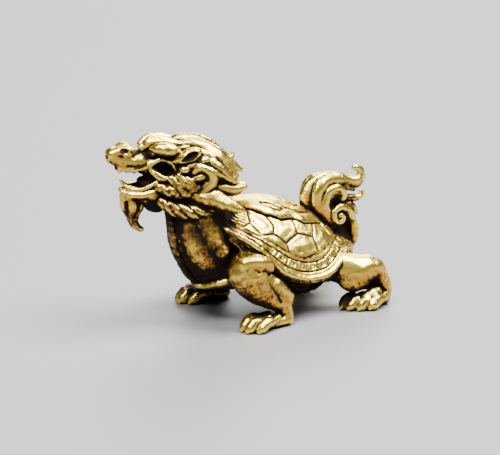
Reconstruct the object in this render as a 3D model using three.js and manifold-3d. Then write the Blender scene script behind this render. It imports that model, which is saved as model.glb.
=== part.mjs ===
// A small dragon turtle, cast in brass as one piece: a dragon's head and mane on a long neck, a
// turtle's shell with raised plates, four lion paws and a curled, plumed tail.
//
// The animal faces -X and stands on Z = 0. Its left side is on -Y. The origin is on the floor, under
// the middle of its box. All sizes are in millimetres.
import * as THREE from "three";
import { mergeVertices } from "three/addons/utils/BufferGeometryUtils.js";
import Module from "manifold-3d";

// Driving dimensions
const LENGTH = 54; // from the snout to the hock: the free form is drawn to it
const RIM_ROLL = 0.55; // radius of the rolled edge round the shell
const PLATE_RELIEF = 0.35; // how far a shell plate stands above the groove round it
const PLATE_SWELL = 0.2; // how much further its middle stands
const PLATE_GAP = 0.35; // width of the slope at each side of a groove
const SOLE_CUT = 0.25; // how much the casting's soles are filed flat
const EYE = 0.8; // radius of an eyeball
const NOSTRIL = 0.5; // radius of a nostril
const CLAW = 0.42; // radius at a claw's tip

// The free form is drawn on a grid of 54 units to the figure's length.
const DRAWN_LENGTH = 54;
const UNIT = LENGTH / DRAWN_LENGTH;

const wasm = await Module();
wasm.setup();

// Solids

/** A closed three.js geometry as a solid. */
function solidOf(geometry) {
  const bare = new THREE.BufferGeometry();
  bare.setAttribute("position", geometry.getAttribute("position"));
  bare.setIndex(geometry.index);
  const merged = mergeVertices(bare, 1e-4);
  const vertProperties = merged.attributes.position.array;
  const triVerts = new Uint32Array(merged.index.array);
  let solid = new wasm.Manifold(new wasm.Mesh({ numProp: 3, vertProperties, triVerts }));
  if (solid.volume() < 0) {
    for (let i = 0; i < triVerts.length; i += 3) {
      [triVerts[i + 1], triVerts[i + 2]] = [triVerts[i + 2], triVerts[i + 1]];
    }
    solid = new wasm.Manifold(new wasm.Mesh({ numProp: 3, vertProperties, triVerts }));
  }
  return solid;
}

/** A closed solid through rings of points, with a point beyond each end. */
function skin(rings, first, last) {
  const sides = rings[0].length;
  const points = [first, ...rings.flat(), last];
  const index = [];
  const at = (ring, side) => 1 + ring * sides + (side % sides);
  for (let side = 0; side < sides; side++) {
    index.push(0, at(0, side + 1), at(0, side));
    index.push(points.length - 1, at(rings.length - 1, side), at(rings.length - 1, side + 1));
    for (let ring = 0; ring + 1 < rings.length; ring++) {
      const [a, b] = [at(ring, side), at(ring, side + 1)];
      const [c, d] = [at(ring + 1, side), at(ring + 1, side + 1)];
      index.push(a, b, c, b, d, c);
    }
  }
  const geometry = new THREE.BufferGeometry().setFromPoints(points);
  geometry.setIndex(index);
  return solidOf(geometry);
}

/** The value at x of a smooth curve through [x, value] pairs. */
function along(pairs, x) {
  const last = pairs.length - 1;
  if (x <= pairs[0][0]) return pairs[0][1];
  if (x >= pairs[last][0]) return pairs[last][1];
  const i = pairs.findIndex(([px]) => px > x) - 1;
  const slope = (k) => {
    const [a, b] = [pairs[Math.max(k - 1, 0)], pairs[Math.min(k + 1, last)]];
    return (b[1] - a[1]) / (b[0] - a[0]);
  };
  const [[x0, v0], [x1, v1]] = [pairs[i], pairs[i + 1]];
  const h = x1 - x0;
  const t = (x - x0) / h;
  const [t2, t3] = [t * t, t * t * t];
  return (
    (2 * t3 - 3 * t2 + 1) * v0 +
    (t3 - 2 * t2 + t) * h * slope(i) +
    (3 * t2 - 2 * t3) * v1 +
    (t3 - t2) * h * slope(i + 1)
  );
}

const END = 0.7; // how far a bar's end rises to its point, as a share of its radius there

/**
 * A limb, lock or curl: a round or flattened bar along a smooth curve. Each station is
 * [x, y, z, radius]. flat is its width over its height, and crest draws its back up to an edge.
 */
function bar(stations, { sides = 5, steps = 1, flat = 1, crest = 0, up = [0, 0, 1] } = {}) {
  const centres = stations.map(([x, y, z]) => new THREE.Vector3(x, y, z));
  const curve = new THREE.CatmullRomCurve3(centres, false, "catmullrom", 0.5);
  const count = (stations.length - 1) * steps + 1;
  const rings = [];
  let lift = new THREE.Vector3(...up);
  const ends = [];
  for (let k = 0; k < count; k++) {
    const t = k / (count - 1);
    const tangent = curve.getTangent(t);
    const side = new THREE.Vector3().crossVectors(tangent, lift).normalize();
    lift = new THREE.Vector3().crossVectors(side, tangent).normalize();
    const place = t * (stations.length - 1);
    const i = Math.min(Math.floor(place), stations.length - 2);
    const radius = THREE.MathUtils.lerp(stations[i][3], stations[i + 1][3], place - i);
    const centre = curve.getPoint(t);
    rings.push(
      Array.from({ length: sides }, (_, n) => {
        const angle = (2 * Math.PI * (n + 0.5)) / sides;
        const high = Math.sin(angle) * (1 + crest * Math.max(Math.sin(angle), 0) ** 4);
        return centre
          .clone()
          .addScaledVector(side, Math.cos(angle) * radius * Math.sqrt(flat))
          .addScaledVector(lift, (high * radius) / Math.sqrt(flat));
      }),
    );
    if (k === 0) ends.push(centre.clone().addScaledVector(tangent, -END * radius));
    if (k === count - 1) ends.push(centre.clone().addScaledVector(tangent, END * radius));
  }
  return skin(rings, ends[0], ends[1]);
}

/** A rounded mass: a ball stretched to three radii. */
function lump([x, y, z], [rx, ry, rz], { round = 9 } = {}) {
  const ball = new THREE.SphereGeometry(1, round, Math.ceil(round * 0.7));
  ball.scale(rx, ry, rz);
  ball.translate(x, y, z);
  return solidOf(ball);
}

const SIDES = [-1, 1]; // -1 is the animal's left, 1 its right
const join = (solids) => solids.reduce((whole, next) => whole.add(next));
const mirrored = ([x, y, ...rest], side) => [x, y * side, ...rest];
const sideBar = (side, stations, options) => bar(stations.map((s) => mirrored(s, side)), options);
const bothBars = (stations, options) => SIDES.map((side) => sideBar(side, stations, options));
const bothLumps = (centre, radii, options) =>
  SIDES.map((side) => lump(mirrored(centre, side), radii, options));

// The shell: a dome over a rim that dips at the flanks, with a notch in front for the neck.

// Half the shell's width, the rim's height and the spine's height, each by x
const HALF_WIDTH = [
  [-18.6, 3.4], [-18, 4.9], [-17.2, 6.6], [-15.7, 8.5], [-13.6, 10], [-11.6, 11], [-9.7, 11.6],
  [-7.7, 12], [-2, 12], [1.9, 11.5], [4.8, 10.5], [7.4, 8.7], [9.9, 6.2], [12, 3.4], [13.4, 0.6],
];
const RIM_HEIGHT = [
  [-18.6, 20.2], [-17.6, 19.3], [-15.7, 18], [-13.6, 16.4], [-11.6, 14.4], [-9.7, 12.3],
  [-7.7, 10.6], [-5.4, 9.4], [-2.1, 8.6], [1.9, 8.7], [4.8, 9.8], [7.4, 11], [9.9, 11.3],
  [13.4, 10.4],
];
const SPINE_HEIGHT = [
  [-18.6, 20.8], [-15, 21.6], [-12, 22], [-9, 22.4], [-5, 22.2], [-1, 21.1], [3, 19],
  [6.5, 16], [10, 13], [13.4, 10.6],
];
const DOME_SHAPE = 0.75; // under 1 keeps the dome full down to the rim
const UNDER_SHELL = [-3, 0, 9.5]; // inside the body, where the shell's underside comes together

/** The height of the shell's face over a place in plan. */
function shellHeight(x, y) {
  const share = Math.min(Math.abs(y) / along(HALF_WIDTH, x), 1);
  const [rim, spine] = [along(RIM_HEIGHT, x), along(SPINE_HEIGHT, x)];
  return rim + (spine - rim) * Math.cos((Math.PI / 2) * share) ** DOME_SHAPE;
}

// Where the grooves between the plates meet, in plan on the animal's right. The a row bounds the
// leaf of plates down the spine, c and d cross it, b divides the flank and m runs inside the margin.
const MEETINGS = {
  n0: [-17.2, 0], n1: [-16.8, 4.4],
  a0: [-12.9, 0], a1: [-11.2, 3.2], a2: [-8.5, 5.4], a3: [-5.4, 6.2], a4: [-2.7, 5.8], a5: [-0.4, 6.3],
  a6: [2, 5.6], a7: [4.4, 4.6], a8: [6.3, 0],
  c1: [-8.3, 0], c2: [-2.9, 0], c3: [2.2, 0], d1: [-8.4, 2.8], d2: [-2.8, 3], d3: [2.1, 2.9],
  b1: [-12.6, 6.6], b2: [-11.3, 8.8], b3: [-8.4, 8.3], b4: [-7.7, 7.2], b5: [-6.2, 9.3],
  b6: [-2.9, 8], b7: [0.5, 8.1],
  m1: [-15.2, 7.2], m2: [-12.5, 9.4], m3: [-9.2, 10.3], m4: [-6.1, 10.7], m5: [-2.8, 10.6],
  m6: [0.9, 9.9], m7: [3.6, 8.7], m8: [6, 6.8], m9: [8.2, 4], m10: [10.2, 0],
};
// The right half of each plate across the spine, and each plate of the right flank
const SPINE_PLATES = [
  "a0 a1 a2 d1 c1", "c1 d1 a2 a3 a4 d2 c2", "c2 d2 a4 a5 a6 d3 c3", "c3 d3 a6 a7 a8",
];
const FLANK_PLATES = [
  "n0 n1 m1 b1 a1 a0", "b1 m1 m2 b2", "a1 b1 b2 b3 b4 a2", "a2 b4 b3 b5 b6 a4 a3", "a4 b6 b7 a6 a5",
  "b2 m2 m3 m4 b5 b3", "b5 m4 m5 m6 b7 b6", "a6 b7 m6 m7 m8 a7", "a8 a7 m8 m9 m10",
];
const MARGIN = "n0 n1 m1 m2 m3 m4 m5 m6 m7 m8 m9 m10".split(" ");
// The same line at the rolled edge, from the neck to the tail: x for each meeting of the margin
const EDGE_LINE = [-18.6, -18.3, -16.6, -13.6, -9.9, -6.3, -2.6, 1.5, 4.6, 7.5, 10.2, 13.4];
// The rolled edge in section: outwards and upwards from the shell's edge, in radii of the roll
const ROLL = [[-0.9, 0], [-0.6, 1.3], [0.3, 1.2], [0.75, 0.2], [0.2, -1], [-1.6, -1.2]];

/** A place of the shell's face, raised off the groove. */
function onShell([x, y], raised = 0) {
  return new THREE.Vector3(x, y, shellHeight(x, y) + raised);
}

/** The triangles of one raised plate: slanting sides up from the grooves round it, and its face. */
function plate(outline) {
  const count = outline.length;
  const middle = [0, 1].map((axis) => outline.reduce((sum, corner) => sum + corner[axis], 0) / count);
  const [relief, swell, gap] = [PLATE_RELIEF, PLATE_SWELL, PLATE_GAP].map((size) => size / UNIT);
  const towards = (corner, keep) => {
    return corner.map((value, axis) => THREE.MathUtils.lerp(middle[axis], value, keep));
  };
  const inset = (corner) => {
    const reach = Math.hypot(corner[0] - middle[0], corner[1] - middle[1]);
    return towards(corner, Math.max(1 - (gap * Math.SQRT1_2) / reach, 0.4));
  };
  const rows = [
    outline.map((corner) => onShell(corner)),
    outline.map((corner) => onShell(inset(corner), relief)),
  ];
  if (count > 7) rows.push(outline.map((corner) => onShell(towards(corner, 0.5), relief + swell / 2)));
  const top = onShell(middle, relief + swell);
  const triangles = [];
  for (let i = 0; i < count; i++) {
    const next = (i + 1) % count;
    for (let row = 0; row + 1 < rows.length; row++) {
      const [low, high] = [rows[row], rows[row + 1]];
      triangles.push(low[i], low[next], high[next], low[i], high[next], high[i]);
    }
    triangles.push(rows.at(-1)[i], rows.at(-1)[next], top);
  }
  return triangles;
}

/** The shell's rolled edge and its underside, round the loop of meetings at the rim. */
function edgeAndUnderside(loop) {
  const roll = RIM_ROLL / UNIT;
  const rows = ROLL.map(([out, up], row) =>
    loop.map(([x, y], i) => {
      if (row === 0) return onShell([x, y]);
      const [before, after] = [loop.at(i - 1), loop[(i + 1) % loop.length]];
      const normal = new THREE.Vector2(after[1] - before[1], before[0] - after[0]).normalize();
      const out2 = new THREE.Vector2(x, y).addScaledVector(normal, (out - ROLL[0][0]) * roll);
      return new THREE.Vector3(out2.x, out2.y, along(RIM_HEIGHT, x) + up * roll);
    }),
  );
  const under = new THREE.Vector3(...UNDER_SHELL);
  const triangles = [];
  for (let i = 0; i < loop.length; i++) {
    const next = (i + 1) % loop.length;
    for (let row = 0; row + 1 < rows.length; row++) {
      const [inner, outer] = [rows[row], rows[row + 1]];
      triangles.push(inner[i], outer[i], outer[next], inner[i], outer[next], inner[next]);
    }
    triangles.push(rows.at(-1)[i], under, rows.at(-1)[next]);
  }
  return triangles;
}

function shell() {
  const roll = RIM_ROLL / UNIT;
  const place = (name) => MEETINGS[name];
  const half = (names) => names.split(" ").map(place);
  const flip = (points) => points.map((point) => mirrored(point, -1)).reverse();
  const edge = MARGIN.map((name, i) => {
    const [x, y] = [EDGE_LINE[i], place(name)[1]];
    return [x, y === 0 ? 0 : along(HALF_WIDTH, x) + ROLL[0][0] * roll];
  });
  const spine = SPINE_PLATES.map(half).map((right) => {
    return [...right, ...flip(right).filter(([, y]) => y < 0)];
  });
  const line = MARGIN.map(place);
  const margin = line.slice(1).map((corner, i) => [line[i], edge[i], edge[i + 1], corner]);
  const right = [...FLANK_PLATES.map(half), ...margin];
  const outlines = [...spine, ...right, ...right.map(flip)];
  const loop = [...edge, ...flip(edge).filter(([, y]) => y < 0)].reverse();
  const triangles = [...outlines.map(anticlockwise).flatMap(plate), ...edgeAndUnderside(loop)];
  return solidOf(new THREE.BufferGeometry().setFromPoints(triangles));
}

/** An outline in plan, in the order that turns anticlockwise seen from above. */
function anticlockwise(outline) {
  const area = THREE.ShapeUtils.area(outline.map(([x, y]) => ({ x, y })));
  return area < 0 ? [...outline].reverse() : outline;
}

// The body: a barrel under the shell, a deep chest and a neck that rises to the head.

const TRUNK = [
  [-14.5, 0, 11, 5.6], [-10, 0, 11.2, 6.8], [-4, 0, 10.4, 7.2], [2, 0, 9.8, 6.9], [8, 0, 9.6, 5.2],
  [12, 0, 9.4, 3],
];
// The belly plate, a flat keeled oval between the legs
const BELLY_PLATE = [
  [-6.4, 0, 5.4, 1.5], [-3.2, 0, 4.8, 2.9], [0.6, 0, 4.5, 3.5], [4, 0, 4.6, 2.9], [7, 0, 5.1, 1.6],
];
const NECK = [
  [-13.2, 0, 10.6, 5], [-16, 0, 11.9, 5.5], [-18.2, 0.1, 15.4, 6.3], [-19.4, 0.5, 20, 6],
  [-20.3, 1, 24.2, 5.4], [-20.8, 1.5, 28, 4.6],
];
// The cross bars down the front of the neck and chest
const THROAT_PLATES = 9;
const THROAT_SPAN = [0.06, 0.72]; // where the first and the last lie, as shares of the neck's line
const THROAT_HALF_WIDTH = 2.1; // at the middle of the line; they narrow towards both ends
const FRONT = new THREE.Vector3(-1, 0.25, 0); // the way that the front of the neck faces

/** The bars across the front of the neck and chest, like the plates of a snake's belly. */
function throat() {
  const line = new THREE.CatmullRomCurve3(
    NECK.map(([x, y, z, radius]) => new THREE.Vector3(x, y, z).addScaledVector(FRONT, radius)),
  );
  const out = FRONT.clone().normalize();
  const bars = [];
  for (let k = 0; k < THROAT_PLATES; k++) {
    const share = THREE.MathUtils.lerp(...THROAT_SPAN, k / (THROAT_PLATES - 1));
    const middle = line.getPoint(share);
    const across = new THREE.Vector3().crossVectors(out, line.getTangent(share)).normalize();
    const half = THROAT_HALF_WIDTH - 0.5 * Math.abs(share - 0.4);
    const spot = (offset, back) =>
      middle.clone().addScaledVector(across, offset * half).addScaledVector(out, -back).toArray();
    const stations = [
      [...spot(-1, 1), 0.4], [...spot(-0.4, 0.2), 0.62], [...spot(0.4, 0.2), 0.62], [...spot(1, 1), 0.4],
    ];
    bars.push(bar(stations, { sides: 4 }));
  }
  return bars;
}

/** The barrel, the belly plate, the neck and the flame curls in front of the shoulders. */
function body() {
  const curl = [
    [-13.6, 5.4, 9.4, 1.1], [-17.2, 4.6, 8.5, 1], [-19.9, 2, 7.5, 0.8], [-21.2, -0.2, 7.8, 0.65],
    [-21.2, -0.7, 9, 0.45],
  ];
  return join([
    bar(TRUNK, { sides: 10, flat: 1.25 }),
    bar(BELLY_PLATE, { sides: 6, flat: 3.8 }),
    bar(NECK, { sides: 10, up: [-1, 0, 0] }),
    ...throat(),
    sideBar(-1, curl),
    bar([[-13.6, 5.4, 9.4, 1.1], [-17, 5, 8.6, 0.9], [-19.2, 3.6, 8.6, 0.5]]),
  ]);
}

// The legs: a heavy shoulder or thigh, a bent shin and a paw with four toes.

// Each toe from the outer one in: how far outwards it points, its reach from the heel, its radius
const FORE_TOES = [[2.1, 8, 0.95], [0.8, 9.6, 1.05], [-0.7, 9.8, 1.05], [-2.2, 8.4, 0.95]];
const HIND_TOES = [[2.1, 5.4, 1], [0.8, 7, 1.05], [-0.6, 8.3, 1.05], [-2, 9.2, 1]];

/** A paw on the floor, from its heel, turned outwards by a number of degrees. */
function paw(side, [heelX, heelY], turnedOut, toes) {
  const turn = THREE.MathUtils.degToRad(turnedOut);
  const at = (forward, out, z, radius) => {
    const x = heelX - forward * Math.cos(turn) + out * Math.sin(turn);
    const y = heelY + forward * Math.sin(turn) + out * Math.cos(turn);
    return [x, y, z, radius];
  };
  const palm = [at(0, 0, 1.3, 1.5), at(2.8, 0, 1.35, 1.6), at(6, 0, 1.4, 1.7)];
  const digits = toes.map(([out, reach, radius]) => [
    at(reach - 4.2, out * 0.8, 1.7, radius),
    at(reach - 1.5, out, 1.6, radius * 1.12),
    at(reach - 0.3, out * 1.05, 0.6, CLAW / UNIT),
  ]);
  return [sideBar(side, palm, { sides: 8, flat: 1.6 }), ...digits.map((toe) => sideBar(side, toe))];
}

/** A foreleg: shoulder, forearm down to the heel, the muscle behind the elbow, and the paw. */
function foreleg(side, lowered) {
  const leg = [
    [-12.2, 6.6, 13.2 - lowered, 3.4], [-14.6, 9, 11.6 - lowered, 3.9],
    [-13.6, 9.9, 8.9 - lowered * 0.6, 3.5], [-11.2, 10.5, 6.7 - lowered * 0.3, 2.7],
    [-8.8, 10.9, 4.8, 2.05], [-7.5, 11, 3, 1.6], [-7.3, 11, 1.5, 1.5],
  ];
  const elbow = [
    [-11.6, 10.6, 10.2, 1.2], [-9, 11, 8, 1.35], [-7, 11.1, 5.8, 1.1], [-6.6, 11.1, 4.6, 0.7],
  ];
  return [
    sideBar(side, leg, { sides: 8 }),
    sideBar(side, elbow),
    ...paw(side, [-7.4, 10.9], 4, FORE_TOES),
  ];
}

/** A hind leg: thigh, knee, hock and paw. */
function hindleg(side) {
  const leg = [
    [5.6, 6.8, 9, 3], [9, 9, 7.6, 3.3], [11.8, 9.8, 7.9, 2.7], [14, 10.1, 7.5, 2],
    [15.4, 10.1, 5.6, 1.6], [15.9, 9.9, 3.4, 1.5], [15.4, 9.7, 1.6, 1.4],
  ];
  return [
    sideBar(side, leg, { sides: 8 }),
    lump(mirrored([8.8, 9.2, 6.6], side), [3.2, 2.6, 2.7], { round: 8 }),
    ...paw(side, [15.6, 9.4], 12, HIND_TOES),
  ];
}

// The head, drawn in its own frame: a forwards, b to its left, c up. It looks to the right.

const HEAD_AT = new THREE.Vector3(-21.9, 1.5, 29.7);
const HEAD_YAW = 20;

function head() {
  const parts = [
    // skull, forehead, upper jaw and nose
    lump([0.8, 0, 2.6], [5.4, 4, 4]),
    bar([[3.5, 0, 3.1, 3], [6.5, 0, 2.8, 2.6], [9, 0, 2.3, 2.1], [12, 0, 3, 2], [14.3, 0, 3.9, 1.6]], {
      sides: 8,
      flat: 1.2,
    }),
    ...bothLumps([11.6, 1.15, 4.6], [1.6, 1, 1.1], { round: 6 }),
    // forehead crest and brows
    ...bothBars([[8.2, 0.9, 4.9, 0.9], [6.7, 1.2, 5.7, 1], [4.6, 1.4, 5.8, 1.1], [2.2, 1.6, 5.5, 0.8]]),
    ...bothBars([[7.9, 2, 4.9, 0.7], [6.4, 2.6, 5.4, 0.9], [4.2, 3.3, 5, 1.1], [2.2, 3.6, 4.8, 0.7]]),
    ...bothLumps([6.6, 2.4, 4.1], [EYE / UNIT, EYE / UNIT, EYE / UNIT], { round: 5 }),
    // the lip that curls back over the corner of the mouth, and the fold below it
    ...bothBars([
      [10, 1.7, 1.6, 0.6], [7.7, 2.4, 2.1, 0.7], [5.5, 3.2, 3.1, 0.75], [3.5, 3.6, 2.6, 0.7],
      [2.4, 3.8, 0.3, 0.6],
    ]),
    ...bothBars([[6.4, 2.8, 1.2, 0.6], [5.6, 3.3, -0.2, 0.7], [3.6, 3.6, -1.3, 0.5]]),
    // the fangs
    ...bothBars([[12.7, 1.2, 1.8, 0.5], [12.9, 1.3, 0.6, 0.25]]),
    // lower jaw, its lip and the tuft under the chin
    bar([[0.5, 0, -3.2, 2.6], [4.5, 0, -4.6, 2.2], [8.5, 0, -5, 1.75], [11.2, 0, -4.4, 1.4]], {
      flat: 1.5,
    }),
    ...bothBars([
      [5.4, 2.8, -1.7, 0.5], [7.4, 2.6, -2.8, 0.8], [9.6, 1.9, -3.4, 0.9], [11.7, 0.7, -2.2, 0.5],
    ]),
    bar([[10.8, 0, -4.6, 1.7], [11.2, 0, -6.4, 1.6], [10.5, 0, -8.5, 1.1], [8.1, 0, -10.7, 0.45]], {
      up: [1, 0, 0],
    }),
    // cheeks, the twisted beard under the jaw and the folds behind the mouth
    ...bothBars([
      [5.6, 3.4, -2.2, 0.9], [3.6, 4.1, -2.7, 1.3], [1.2, 4.5, -2.9, 1.5], [-1.6, 4.5, -2.4, 1.3],
    ]),
    ...bothBars([
      [5.2, 3.2, -5, 0.9], [3, 4.2, -6.1, 1.35], [0.2, 4.8, -6.8, 1.5], [-4, 4.9, -6.6, 0.9],
    ]),
    // ears and the curled lock behind each
    ...bothBars([[2.8, 3.8, 2.6, 0.4], [0.3, 4.6, 3.3, 1.15], [-2.3, 4.7, 4.3, 0.4]]),
    ...bothBars([
      [-0.8, 4.5, 1, 0.8], [-3.4, 4.9, 1.3, 1], [-3.9, 4.9, -0.4, 1], [-2.6, 4.9, -1.9, 0.8],
    ]),
    ...mane(),
  ];
  const hollows = [
    ...bothLumps([4, 3.9, 1.1], [1.5, 1.1, 0.9], { round: 6 }),
    ...bothBars([[1.6, 5.3, 3.1, 0.3], [0.2, 5.7, 3.5, 0.6], [-1.3, 5.7, 4, 0.3]]),
    ...bothLumps([11.7, 2.1, 4.5], [NOSTRIL / UNIT, NOSTRIL / UNIT, NOSTRIL / UNIT], { round: 5 }),
  ];
  let whole = join(parts);
  for (const hollow of hollows) whole = whole.subtract(hollow);
  return placeHead(whole);
}

/** The locks of the mane: each sweeps back from the head to a point. */
function mane() {
  const lock = { crest: 0.35, flat: 1.3 };
  const crown = [[2.2, 1.4, 5, 0.9], [-1, 2, 5, 1.4], [-4.4, 2.4, 3.8, 1.5]];
  return [
    // down the middle of the crown
    bar([[3.4, 0, 5, 1], [0, 0, 5.4, 1.5], [-4.2, 0, 4, 1.6], [-8.4, 0, 0.6, 0.5]], lock),
    // beside it, a long pair: the left one ends in a point and the right one turns up
    bar([...crown, [-7.4, 2.7, 1.7, 1.2], [-10.3, 2.8, 0, 0.5]], lock),
    sideBar(-1, [...crown, [-7.4, 2.6, 1.6, 1.2], [-9.4, 2.5, 1, 0.7], [-10.1, 2.4, 2.3, 0.3]], lock),
    // three more rows down to the jaw
    ...bothBars([[-1.8, 3.6, 3, 1.1], [-5, 4.1, 1.3, 1.4], [-8.4, 4.7, -1.3, 0.5]], lock),
    ...bothBars(
      [[-2.4, 3.4, -0.8, 1.3], [-5.6, 3.6, -2.4, 1.6], [-8.6, 3.5, -3.2, 1.2], [-11, 3.3, -2.5, 0.5]],
      lock,
    ),
    ...bothBars([[-1.2, 4.4, -3.8, 1.3], [-4, 5.2, -4.6, 1.6], [-10.2, 6.4, -7, 0.4]], lock),
    // the nape, between the rows
    lump([-4, 0, 0.2], [4.4, 3.8, 4.6], { round: 8 }),
  ];
}

/** Moves a solid from the head's frame to the figure's. */
function placeHead(solid) {
  const yaw = THREE.MathUtils.degToRad(HEAD_YAW);
  const forwards = new THREE.Vector3(-Math.cos(yaw), Math.sin(yaw), 0);
  const left = new THREE.Vector3().crossVectors(new THREE.Vector3(0, 0, 1), forwards);
  const frame = new THREE.Matrix4().makeBasis(forwards, left, new THREE.Vector3(0, 0, 1));
  return solid.transform(frame.setPosition(HEAD_AT).elements);
}

// The tail: it rises from the rump, spreads in a plume of locks and ends in curls.

function tail() {
  const plume = { flat: 0.8, crest: 0.2, up: [1, 0, 0] };
  return join([
    bar([[9.6, 0, 8.6, 3], [12.3, 0, 9.6, 2.5], [13.9, 0, 11, 1.7]], { sides: 8 }),
    bar([[12.4, 0, 10.4, 2.1], [10.8, 0, 13.2, 2.2], [7.8, 0, 18.2, 2.2]], { sides: 8 }),
    bar(
      [
        [8.6, 0, 15.4, 1.6], [5.9, 0, 18.2, 1.7], [5.2, 0, 21.2, 1.9], [7.2, 0, 23.4, 1.8],
        [10.3, 0, 23.5, 1.5], [13.4, 0, 22.6, 1.2], [16, 0, 22.6, 1], [16.9, 0, 23.9, 0.7],
        [15.9, 0, 24.9, 0.45],
      ],
      plume,
    ),
    ...bothBars(
      [
        [9.4, 1.4, 14.8, 1.2], [7.4, 2, 17.8, 1.45], [7.5, 2.2, 20.6, 1.5], [9.8, 2, 22.1, 1.3],
        [12.4, 1.6, 21.6, 1], [14.3, 1.2, 21.2, 0.6],
      ],
      plume,
    ),
    ...bothBars(
      [
        [10, 2, 14.4, 0.9], [8.5, 2.9, 17, 0.9], [8.9, 3.1, 19.2, 0.9], [10.7, 3, 20.3, 0.85],
        [12, 2.7, 19.5, 0.7], [12.1, 2.4, 18.3, 0.5],
      ],
    ),
    // the stem behind, which rolls up into a spiral
    ...bothBars(
      [
        [13.6, 0.4, 10.6, 1.35], [14.7, 0.9, 13, 1.1], [14.2, 1.6, 15.4, 0.95], [12.8, 2, 17.4, 0.85],
        [11, 2.4, 18.2, 0.8], [9.5, 2.7, 17.4, 0.75], [9.2, 2.9, 15.9, 0.7], [10.2, 3, 14.8, 0.66],
        [11.5, 3.1, 15.2, 0.6], [11.6, 3.2, 16.3, 0.5], [10.8, 3.2, 16.6, 0.45],
      ],
    ),
    // small hooks behind the plume
    bar(
      [
        [10.6, 0, 19.4, 1.6], [13.6, 0, 18.6, 0.8], [15.5, 0, 18.8, 0.5], [16.3, 0, 20, 0.42],
        [15.7, 0, 20.7, 0.32],
      ],
    ),
    bar([[12, 0, 21, 0.9], [14, 0, 20.5, 0.55], [15, 0, 20.4, 0.3]]),
    bar([[11.4, 0, 17.2, 1.5], [13.8, 0, 17, 0.9], [15.9, 0, 15.8, 0.4]]),
  ]);
}

// The whole figure, filed flat under its soles and set over its origin

/** The same solid with the voids that are sealed between locks and body filled with metal. */
function withoutVoids(solid) {
  return join(solid.decompose().filter((body) => body.volume() > 0));
}

/** The figure as drawn, in units. */
function figure() {
  const legs = SIDES.flatMap((side) => [...foreleg(side, side < 0 ? 0 : 1.6), ...hindleg(side)]);
  const whole = withoutVoids(join([shell(), body(), ...legs, tail(), head()]));
  const DEPTH = 20;
  const file = new THREE.BoxGeometry(4 * LENGTH, 4 * LENGTH, DEPTH);
  file.translate(0, 0, SOLE_CUT / UNIT - DEPTH / 2);
  return whole.subtract(solidOf(file));
}

/** A solid as a three.js geometry. */
function geometryOf(solid) {
  const { numProp, numVert, vertProperties, triVerts } = solid.getMesh();
  const position = new Float32Array(numVert * 3);
  for (let i = 0; i < numVert; i++) {
    position.set(vertProperties.subarray(i * numProp, i * numProp + 3), i * 3);
  }
  const geometry = new THREE.BufferGeometry();
  geometry.setAttribute("position", new THREE.BufferAttribute(position, 3));
  geometry.setIndex(new THREE.BufferAttribute(triVerts, 1));
  return geometry;
}

const geometry = geometryOf(figure());
geometry.scale(UNIT, UNIT, UNIT);
geometry.computeBoundingBox();
const box = geometry.boundingBox;
geometry.translate(-(box.min.x + box.max.x) / 2, -(box.min.y + box.max.y) / 2, -box.min.z);
geometry.computeVertexNormals();

const brass = new THREE.MeshStandardMaterial({ color: 0xb08d45, metalness: 1, roughness: 0.4 });
const casting = new THREE.Mesh(geometry, brass);
casting.name = "dragon_turtle";

const part = new THREE.Group();
part.add(casting);

export default part;
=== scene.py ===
"""A small dragon turtle, cast in brass as one piece, with the finish of old, rubbed brass.

The frame gives the casting's box and its place. The fine form is modelled here on the figure's own
drawing grid, whose unit is a millimetre at the frame's size: the animal faces -X, its left side is on
-Y and +Z is up. Every limb, lock and curl is a roll of clay along a line. They are pressed together
in one block of distances, grooved and pitted, and drawn out as one closed mesh.
"""

import logging
import math
from dataclasses import dataclass, field, replace
from enum import Enum

import bpy
import numpy as np
import openvdb
from mathutils import Matrix, Vector

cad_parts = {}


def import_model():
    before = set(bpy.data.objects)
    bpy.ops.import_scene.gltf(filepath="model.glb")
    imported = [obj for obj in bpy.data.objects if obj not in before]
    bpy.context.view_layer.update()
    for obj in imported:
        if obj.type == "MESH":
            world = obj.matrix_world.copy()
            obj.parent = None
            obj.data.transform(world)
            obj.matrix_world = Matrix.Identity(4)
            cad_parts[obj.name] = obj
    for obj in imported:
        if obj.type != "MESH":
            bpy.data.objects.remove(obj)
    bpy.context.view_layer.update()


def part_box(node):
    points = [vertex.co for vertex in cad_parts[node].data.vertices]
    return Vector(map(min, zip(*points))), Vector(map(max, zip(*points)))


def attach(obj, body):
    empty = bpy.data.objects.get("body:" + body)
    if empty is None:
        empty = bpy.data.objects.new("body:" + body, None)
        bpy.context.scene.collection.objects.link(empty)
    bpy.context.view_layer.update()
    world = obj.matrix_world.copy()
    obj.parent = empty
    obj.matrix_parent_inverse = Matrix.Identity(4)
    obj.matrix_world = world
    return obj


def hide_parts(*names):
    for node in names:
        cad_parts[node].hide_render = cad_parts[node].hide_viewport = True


Point = tuple[float, ...]
Stations = tuple[Point, ...]
Window = tuple[np.ndarray, np.ndarray, np.ndarray]

LOG = logging.getLogger("dragon_turtle")
NODE = "dragon_turtle"
PIECE = "dragon_turtle_cast"

# The casting's box on the drawing grid, which the frame's box is matched to
DRAWN_LOW = (-36.318, -14.49, 0.25)
DRAWN_HIGH = (17.765, 14.326, 36.696)

FAR = 3.0  # distances past this are of no use, in drawing units
FINE_STEP = 0.17  # the grid's pitch
MOST_TRIANGLES = 194_000


class Side(Enum):
    """The animal's two sides, by the sign of Y."""

    LEFT = -1
    RIGHT = 1


class Use(Enum):
    """How a form goes into the block."""

    ADD = "add"
    CUT = "cut"
    # marks dirt, and painted shade where shade falls
    SOIL_AND_PAINTED_SHADE = "soil_and_painted_shade"
    WEAR = "wear"


def mirrored(points: Stations, side: Side) -> Stations:
    """Stations drawn for the right side, on the asked side."""
    return tuple((p[0], p[1] * side.value, *p[2:]) for p in points)


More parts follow.
